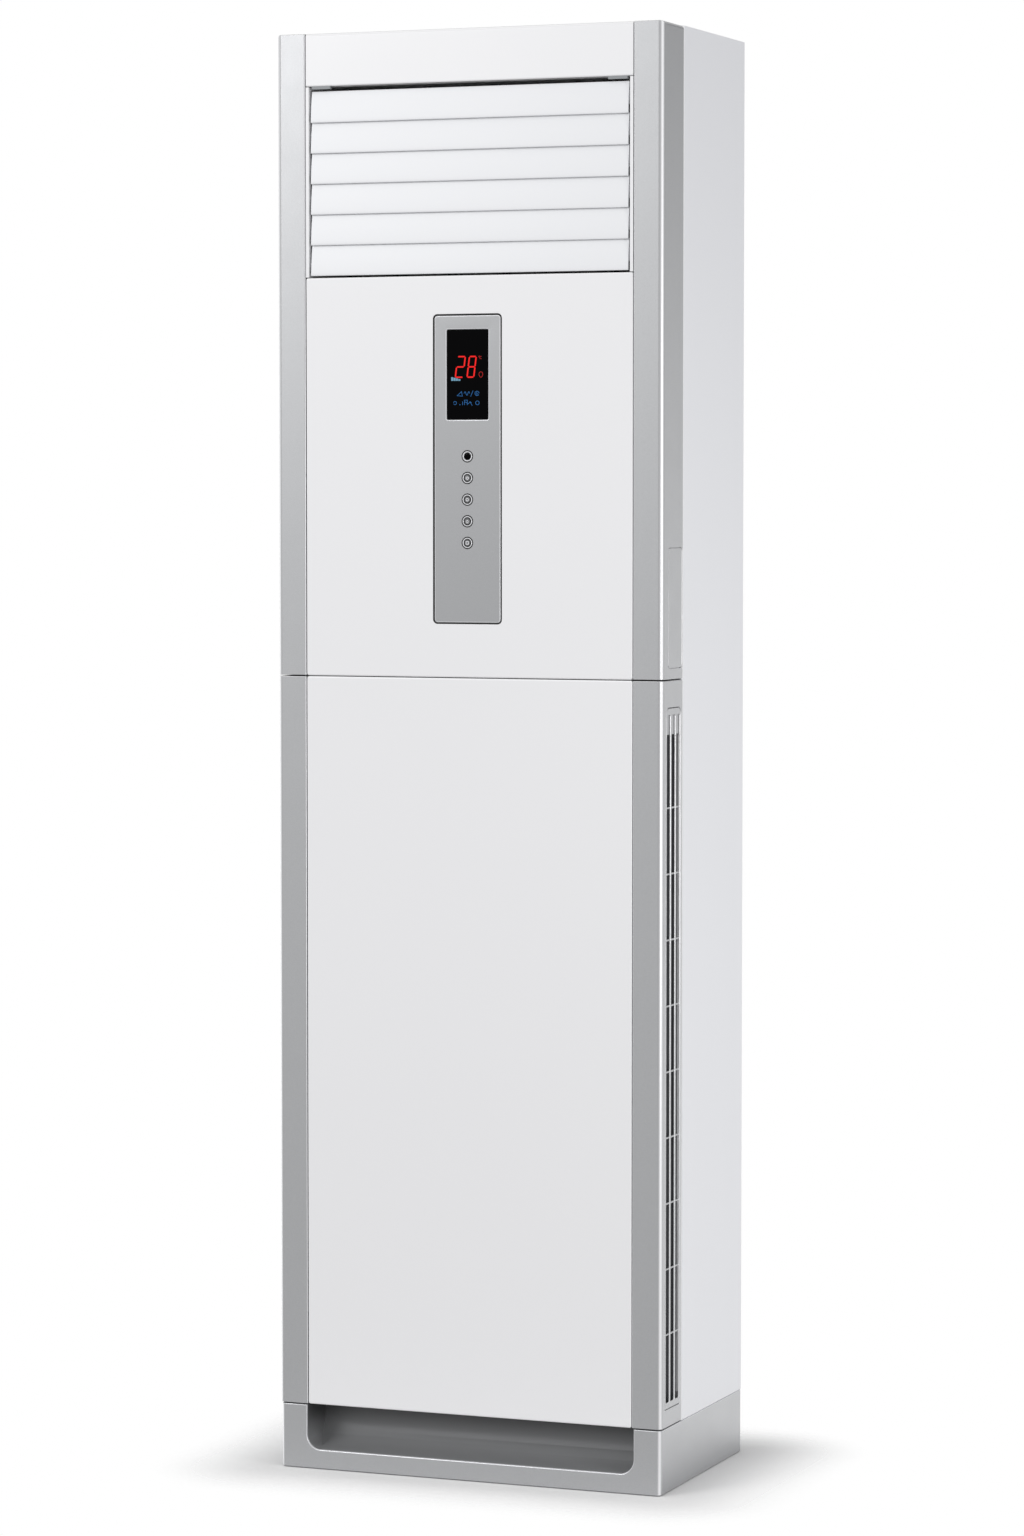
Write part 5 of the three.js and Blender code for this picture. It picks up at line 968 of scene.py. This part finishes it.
lens_profile = [
    (0.01, 0.05), (1.6, 0.06), (3.0, 0.14), (3.9, 0.4), (4.3, 0.8), (4.4, 1.3),
    (4.4, 5.05), (5.9, 5.05), (5.9, 6.05), (0.01, 6.05),
]
lens = shape(turned(lens_profile, panel_face, key_heights[0]))
keep(lens, "lens_dome", "black_window", stands_for="receiver_lens")

key_profile = [
    (0.01, 0.4), (1.2, 0.38), (2.6, 0.22), (3.6, 0.04), (4.2, 0.02), (4.65, 0.2), (4.9, 0.55),
    (5.0, 1.0), (5.0, 5.05), (6.5, 5.05), (6.5, 6.05), (2.0, 6.05), (2.0, 7.85), (0.01, 7.85),
]
inlay_profile = [(0.01, 0.28), (2.3, 0.2), (3.1, 0.03), (3.3, 0.1), (3.35, 0.4), (0.01, 0.6)]
for index, z in enumerate(key_heights[1:], 1):
    body = f"button_{index}"
    cap, inlay = (shape(turned(p, panel_face, z)) for p in (key_profile, inlay_profile))
    keep(cap, f"key_cap_{index}", "black_plastic", body, body)
    keep(inlay, f"key_inlay_{index}", "grey_plastic", body, material=key_grey)
print("controls:", made[-11:])

# %% [markdown]
# ## Display
#
# Behind the smoked pane, red seven segment digits show the set temperature, with small red and
# blue signs beside and below them. A picture of the display would be quick, but each segment
# here is a thin shape of its own, so it stays sharp however close the camera comes. The signs
# are plain shapes such as bars, drops and waves.


# %% Strokes
def stroke(points, width):
    """The outline of a line of points, drawn with a pen of a given width."""
    points = [Vector(p) for p in points]
    steps = [step * width / 2 for step in mitres(points)]
    left = [p + step for p, step in zip(points, steps)]
    right = [p - step for p, step in zip(points, steps)]
    return left + right[::-1]


def signs(name, outlines, material, face, body="cabinet", slot="black_window"):
    """Thin raised shapes, all in one piece."""
    piece = shape(*[slab("Y", outline, face, face + 0.2) for outline in outlines])
    return keep(piece, name, slot, body, material=material)


# %% Digits
SEGMENTS = {"2": "abged", "8": "abcdefg"}
SEGMENT_GAP = 0.25
sign_face = pane_face - 0.12


def on_pane(u, v):
    """A point of the pane, from 0 at its left or top to 1 at its right or foot."""
    across, down = pane_right - pane_left, pane_high - pane_low
    return Vector((pane_left + across * u, pane_high - down * v))


def digit(sign, u0, u1, v0=0.293, v1=0.538, lean=0.13, pen=1.75):
    """The lit segments of one digit, leaning to the right."""
    low, high = on_pane(u0, v1), on_pane(u1, v0)
    tall = high.y - low.y
    wide = high.x - low.x - lean * tall - pen
    tall -= pen
    ends = {
        "a": ((0, 1), (1, 1)), "b": ((1, 1), (1, 0.5)), "c": ((1, 0.5), (1, 0)),
        "d": ((0, 0), (1, 0)), "e": ((0, 0.5), (0, 0)), "f": ((0, 1), (0, 0.5)),
        "g": ((0, 0.5), (1, 0.5)),
    }
    bars = []
    for key in SEGMENTS[sign]:
        start, stop = (Vector((p[0] * wide, p[1] * tall)) for p in ends[key])
        way = (stop - start).normalized()
        side = Vector((-way.y, way.x)) * pen / 2
        start, stop = start + way * SEGMENT_GAP, stop - way * SEGMENT_GAP
        point = way * pen / 2
        corners = [
            start, start + point + side, stop - point + side,
            stop, stop - point - side, start + point - side,
        ]
        bars.append([
            Vector((low.x + pen / 2 + p.x + lean * (p.y + pen / 2), low.y + pen / 2 + p.y))
            for p in corners
        ])
    return bars


digits = digit("2", 0.19, 0.47) + digit("8", 0.475, 0.735)
signs("display_digits", digits, red_glow, sign_face)


# %% Small signs
def line(pen, *spots):
    """A stroke through points of the pane."""
    return stroke([on_pane(*spot) for spot in spots], pen)


def curl(pen, spot, radius, start, stop):
    """Part of a circle about a point of the pane."""
    return stroke(arc(*on_pane(*spot), radius, start, stop, 14), pen)


def wave(u0, u1, v, swing, waves=1.5, steps=16):
    """A wavy stroke along a row of the pane."""
    start, stop = on_pane(u0, v), on_pane(u1, v)
    points = []
    for i in range(steps + 1):
        rise = swing * math.sin(2 * math.pi * waves * i / steps)
        points.append((start.x + (stop.x - start.x) * i / steps, start.y + rise))
    return stroke(points, 0.55)


degree = [curl(0.4, (0.79, 0.302), 0.75, 0, 360), curl(0.5, (0.828, 0.314), 1.5, 50, 310)]
DROP = [(0, 3.6), (2.0, 2.4), (2.6, 0.2), (1.6, -2.4), (0, -3.5), (-1.6, -2.4), (-2.6, 0.2),
        (-2.0, 2.4), (0, 3.6)]
drop = stroke([on_pane(0.83, 0.502) + Vector(p) for p in DROP], 0.6)
signs("display_signs_red", [*degree, drop], dim_red_glow, sign_face)

BAR_FOOT, BAR_WIDTH = 0.569, 0.05
speed = [
    [on_pane(u, BAR_FOOT), on_pane(u + BAR_WIDTH, BAR_FOOT),
     on_pane(u + BAR_WIDTH, BAR_FOOT - rise), on_pane(u, BAR_FOOT - rise)]
    for u, rise in ((0.107, 0.04), (0.165, 0.034), (0.223, 0.026), (0.281, 0.018))
]
signs("display_speed_bars", speed, pale_glow, sign_face)
UPPER_ROW, LOWER_ROW = 0.711, 0.816
blue = [
    line(0.55, (0.25, 0.735), (0.36, 0.69), (0.38, 0.74), (0.25, 0.735)),
    wave(0.42, 0.56, UPPER_ROW, 2.2),
    line(0.6, (0.58, 0.745), (0.64, 0.68)),
    curl(0.6, (0.735, UPPER_ROW), 2.7, 0, 330),
    curl(0.5, (0.735, UPPER_ROW), 1.1, 90, 400),
    curl(0.55, (0.2, LOWER_ROW), 2.0, -150, 170),
    line(1.0, (0.31, 0.835), (0.33, 0.835)),
    line(0.6, (0.385, 0.84), (0.385, 0.80)),
    line(0.55, (0.43, 0.84), (0.43, 0.785), (0.5, 0.785), (0.5, 0.84)),
    wave(0.43, 0.6, LOWER_ROW, 1.2),
    line(0.55, (0.56, 0.80), (0.62, 0.845)),
    curl(0.6, (0.745, LOWER_ROW), 2.4, 20, 380),
]
signs("display_signs_blue", blue, blue_glow, sign_face)

# %% Marks on the keys
MARK_PEN, MARK_RADIUS = 0.8, 1.6
key_marks = [
    [arc(0, 0, MARK_RADIUS, 125, 415, 14), [(0, 0), (0, 2.1)]],
    [arc(0, 0, MARK_RADIUS, 0, 360, 14)],
    [[(-1.6, -0.4), (0, 1.2), (1.6, -0.4)], [(-1.5, -1.8), (1.5, -1.8)]],
    [[(0, -1.6), (1.6, -1.6), (1.6, 1.6), (-1.6, 1.6), (-1.6, -1.6), (0, -1.6)]],
]
for index, (z, paths) in enumerate(zip(key_heights[1:], key_marks), 1):
    outlines = [stroke([(a, z + b) for a, b in path], MARK_PEN) for path in paths]
    mark_face = panel_face + 0.02
    signs(f"key_mark_{index}", outlines, pale_silver_and_highlight, mark_face, f"button_{index}", "grey_plastic")
print("display and marks:", made[-8:])

# %% [markdown]
# ## Plinth
#
# The cabinet stands on one grey moulding with rounded front corners. Under the front panel it is
# scooped out, so that a foot can come close, and the scoop's edge is rounded over. The rounded lip
# and the top edge get a paler silver as a painted highlight, and the inside of the scoop gets
# painted shade that darkens towards its top. The scoop is the overlap of two shapes: the opening
# seen from the front, and the curved wall seen from the side. The same two, grown by the wall,
# give its back.

# %% Plinth sizes
PLINTH_WALL, PLINTH_ROUND = 3, 7
SCOOP_HALF, SCOOP_LIP, SCOOP_DEPTH, SCOOP_CORNER = 217, 24.5, 58, 18
ABOVE = 140  # a height over the plinth that its cutters reach
px0, px1, py0, py1, pz0, pz1 = edges("plinth")
pz0, pz1 = 0.3, pz1 - 0.6
ix0, ix1, iy0, iy1 = px0 + PLINTH_WALL, px1 - PLINTH_WALL, py0 + PLINTH_WALL, py1 - PLINTH_WALL
plinth_plan = rounded(
    [(px0, py0, PLINTH_ROUND), (px1, py0, PLINTH_ROUND), (px1, py1, 1.5), (px0, py1, 1.5)], 10
)
inner_plan = rounded([(ix0, iy0, 4), (ix1, iy0, 4), (ix1, iy1, 1), (ix0, iy1, 1)], 6)


def bend(start, lean_a, lean_b, stop, steps=10):
    """A smooth curve between two points, pulled by two others."""
    start, lean_a, lean_b, stop = (Vector(p) for p in (start, lean_a, lean_b, stop))
    curve = []
    for i in range(steps + 1):
        t = i / steps
        u = 1 - t
        curve.append(start * u**3 + 3 * lean_a * u * u * t + 3 * lean_b * u * t * t + stop * t**3)
    return curve


def scoop_view(half, low, corner):
    """The scoop seen from the front."""
    foot, top = [(-half, low, corner), (half, low, corner)], [(half, ABOVE, 0), (-half, ABOVE, 0)]
    return rounded(foot + top, 8)


def scoop(wall=0):
    """The scoop as a solid, or a larger one that gives the back of its wall."""
    low, deep = SCOOP_LIP - wall, SCOOP_DEPTH + wall
    front_view = scoop_view(SCOOP_HALF + wall, low, SCOOP_CORNER + wall)
    side_view = [
        Vector((py0 - 20, low)),
        *bend((py0, low), (py0 + deep * 0.8, low), (py0 + deep, low + 14), (py0 + deep, pz1)),
        Vector((py0 + deep, ABOVE)), Vector((py0 - 20, ABOVE)),
    ]
    from_front = shape(slab("Y", front_view, py0 - 15, py0 + 80))
    return carve(from_front, ("INTERSECT", shape(slab("X", side_view, -260, 260))))


# %% Make the plinth
plinth = shape(slab("Z", plinth_plan, pz0, pz1, (1.4, 1.1)))
inside = shape(slab("Z", inner_plan, pz0 - 5, pz1 - PLINTH_WALL))
deck = shape(slab("Z", rectangle(-233.5, 233.5, py0 + SCOOP_DEPTH + 21, 130, 4), 40, 90))
carve(plinth, inside, deck)
shell = shape(slab("Z", grown(plinth_plan, -0.2), pz0 + 0.2, pz1 - 0.2))
wall = carve(scoop(PLINTH_WALL), ("INTERSECT", shell))
carve(plinth, ("UNION", wall))
lip_view = scoop_view(SCOOP_HALF, SCOOP_LIP, SCOOP_CORNER)
lip_flare = [(-3, 2.0), (0, 2.0), (0.16, 1.22), (0.6, 0.58), (1.25, 0.16), (2.1, 0.0), (2.3, -1.5)]
carve(plinth, scoop(), flared("Y", lip_view, py0, lip_flare))
keep(plinth, "plinth_moulding", "silver_plastic", stands_for="plinth", crease=26)
# The scoop's inside gets painted shade, and its rounded lip and the plinth's top edge get a painted
# highlight.
plinth.data.materials.append(recess_painted_shade)
plinth.data.materials.append(silver_highlight_paint)
for face in plinth.data.polygons:
    x, y, z = face.center / MM
    if py0 + 2 < y < py0 + SCOOP_DEPTH + 0.1 and abs(x) < SCOOP_HALF + 0.1 and z > SCOOP_LIP - 0.1:
        face.material_index = 1
    elif y < py0 + 2 and face.normal.y > -0.95 and abs(x) < SCOOP_HALF + 2 and z > SCOOP_LIP - 3:
        face.material_index = 2
    elif z > pz1 - 1.2 and face.normal.z < 0.98:
        face.material_index = 2
print("plinth faces:", len(plinth.data.polygons))

# %% [markdown]
# ## Side panels
#
# The sides are sheets of powder coated steel with their front and rear edges folded in. A fold
# has a radius, and along the front it draws the thin light line that parts the white side from
# the silver trim; the finish adds a painted highlight on that rounding. The section is drawn
# once and carried up; a small foot flange closes it below.

# %% Side panels
x0, x1, y0, y1, z0, z1 = edges("right_side_panel")
fold = sheet_outline([(x0, y0, 0), (x1, y0, 4), (x1, y1, 2.4), (x1 - 15, y1, 0)], 1.2, 6)
foot = rectangle(x1 - 14, x1 - 0.6, y0 + 0.6, y1 - 0.6, 1.5)
side_sheet = shape(slab("Z", fold, z0, z1, (0.3, 0.3), 2))
carve(side_sheet, ("UNION", shape(slab("Z", foot, z0 + 0.01, z0 + 1.2))))
keep_pair(side_sheet, "side_sheet", "white_steel", "side_panel")
print("side sheets:", made[-2:])

# %% [markdown]
# ## Back of the cabinet
#
# The back is a ribbed zinc sheet held by pan head screws along its edges. The pipes leave by a
# hole near its foot, whose sharp rim is covered by a rubber ring. Each screw is a low dome with
# a cross cut into it; the ring is one turned section that grips the sheet from both sides.


# %% Screws and pipe ring
def screw_head(x, z, face, radius=3.6, height=1.1):
    """A pan head with a cross recess, on a face that looks to the back."""
    dome = [(radius, -0.1), (radius, height * 0.35), (radius * 0.8, height * 0.85),
            (radius * 0.4, height), (0.01, height)]
    head = shape(turned(dome, face, z, x, 24))
    crosses = [
        shape(slab("Y", rectangle(x - a, x + a, z - b, z + b, 0), face + height * 0.4, face + 4))
        for a, b in ((2.0, 0.4), (0.4, 2.0))
    ]
    return carve(head, *crosses)


ROW_COUNT, ROW_MARGIN, EDGE_MARGIN = 6, 18, 7
PIPE_X, PIPE_Z, PIPE_RADIUS = -110, 170, 33
rear_x0, rear_x1, _, rear_face, rear_z0, rear_z1 = edges("rear_panel")
row_height = (rear_z1 - rear_z0 - 2 * ROW_MARGIN) / (ROW_COUNT - 1)
row_heights = [rear_z0 + ROW_MARGIN + i * row_height for i in range(ROW_COUNT)]
spots = [(x, z) for x in (rear_x0 + EDGE_MARGIN, rear_x1 - EDGE_MARGIN) for z in row_heights]
spots += [(x, z) for x in (-110, 0, 110) for z in (rear_z0 + EDGE_MARGIN, rear_z1 - EDGE_MARGIN)]
for number, (x, z) in enumerate(spots, 1):
    keep(screw_head(x, z, rear_face), f"rear_screw_{number}", "zinc_steel")

# The ring's section: (distance from the hole's edge, distance behind the sheet's outer face).
grip = [
    (-0.8, -0.2), (-0.8, 1.0), (0.2, 1.45), (3.2, 1.45), (3.8, 0.9), (3.8, 0.05), (0.1, 0.05),
    (0.1, -1.25), (3.8, -1.25), (3.8, -2.2), (0.2, -2.6), (-0.8, -2.2),
]
pipe_ring = turned([(PIPE_RADIUS + more, y) for more, y in grip], rear_face, PIPE_Z, PIPE_X, 64)
keep(shape(pipe_ring, closed=True), "pipe_ring", "black_plastic", material=dark_rubber)
print("rear screws:", len(spots), "pipe ring at", (PIPE_X, PIPE_Z))

# %% [markdown]
# ## Dressing the solids
#
# Pieces whose shape is already right keep their solid. A real pressing or moulding has no knife
# edges, so a small bevel goes round every sharp edge. The solids come as triangles, which a bevel
# can't follow, so the flat faces are merged first.


# %% Dress a solid
def dress(name, material, edge=0.4, smooth=40):
    piece = nodes[name]
    piece.data.materials.clear()
    piece.data.materials.append(material)
    weld = piece.modifiers.new("weld", "WELD")
    weld.merge_threshold = 1e-5
    flat = piece.modifiers.new("flat faces", "DECIMATE")
    flat.decimate_type = "DISSOLVE"
    flat.angle_limit = math.radians(0.5)
    if edge:
        bevel = piece.modifiers.new("edge", "BEVEL")
        bevel.width = edge * MM
        bevel.segments = 2
        bevel.limit_method = "ANGLE"
        bevel.angle_limit = math.radians(smooth)
        bevel.use_clamp_overlap = True
        bevel.harden_normals = True
    piece.data.set_sharp_from_angle(angle=math.radians(smooth))
    for face in piece.data.polygons:
        face.use_smooth = True
    shading = piece.modifiers.new("flat shading", "WEIGHTED_NORMAL")
    shading.keep_sharp = True


bare = [part for part in frame["record"]["subparts"] if part["node"] not in replaced]
for part in bare:
    dress(part["node"], finish_of_slot[part["material_slot"]])
print("dressed:", len(bare), "replaced:", len(replaced))
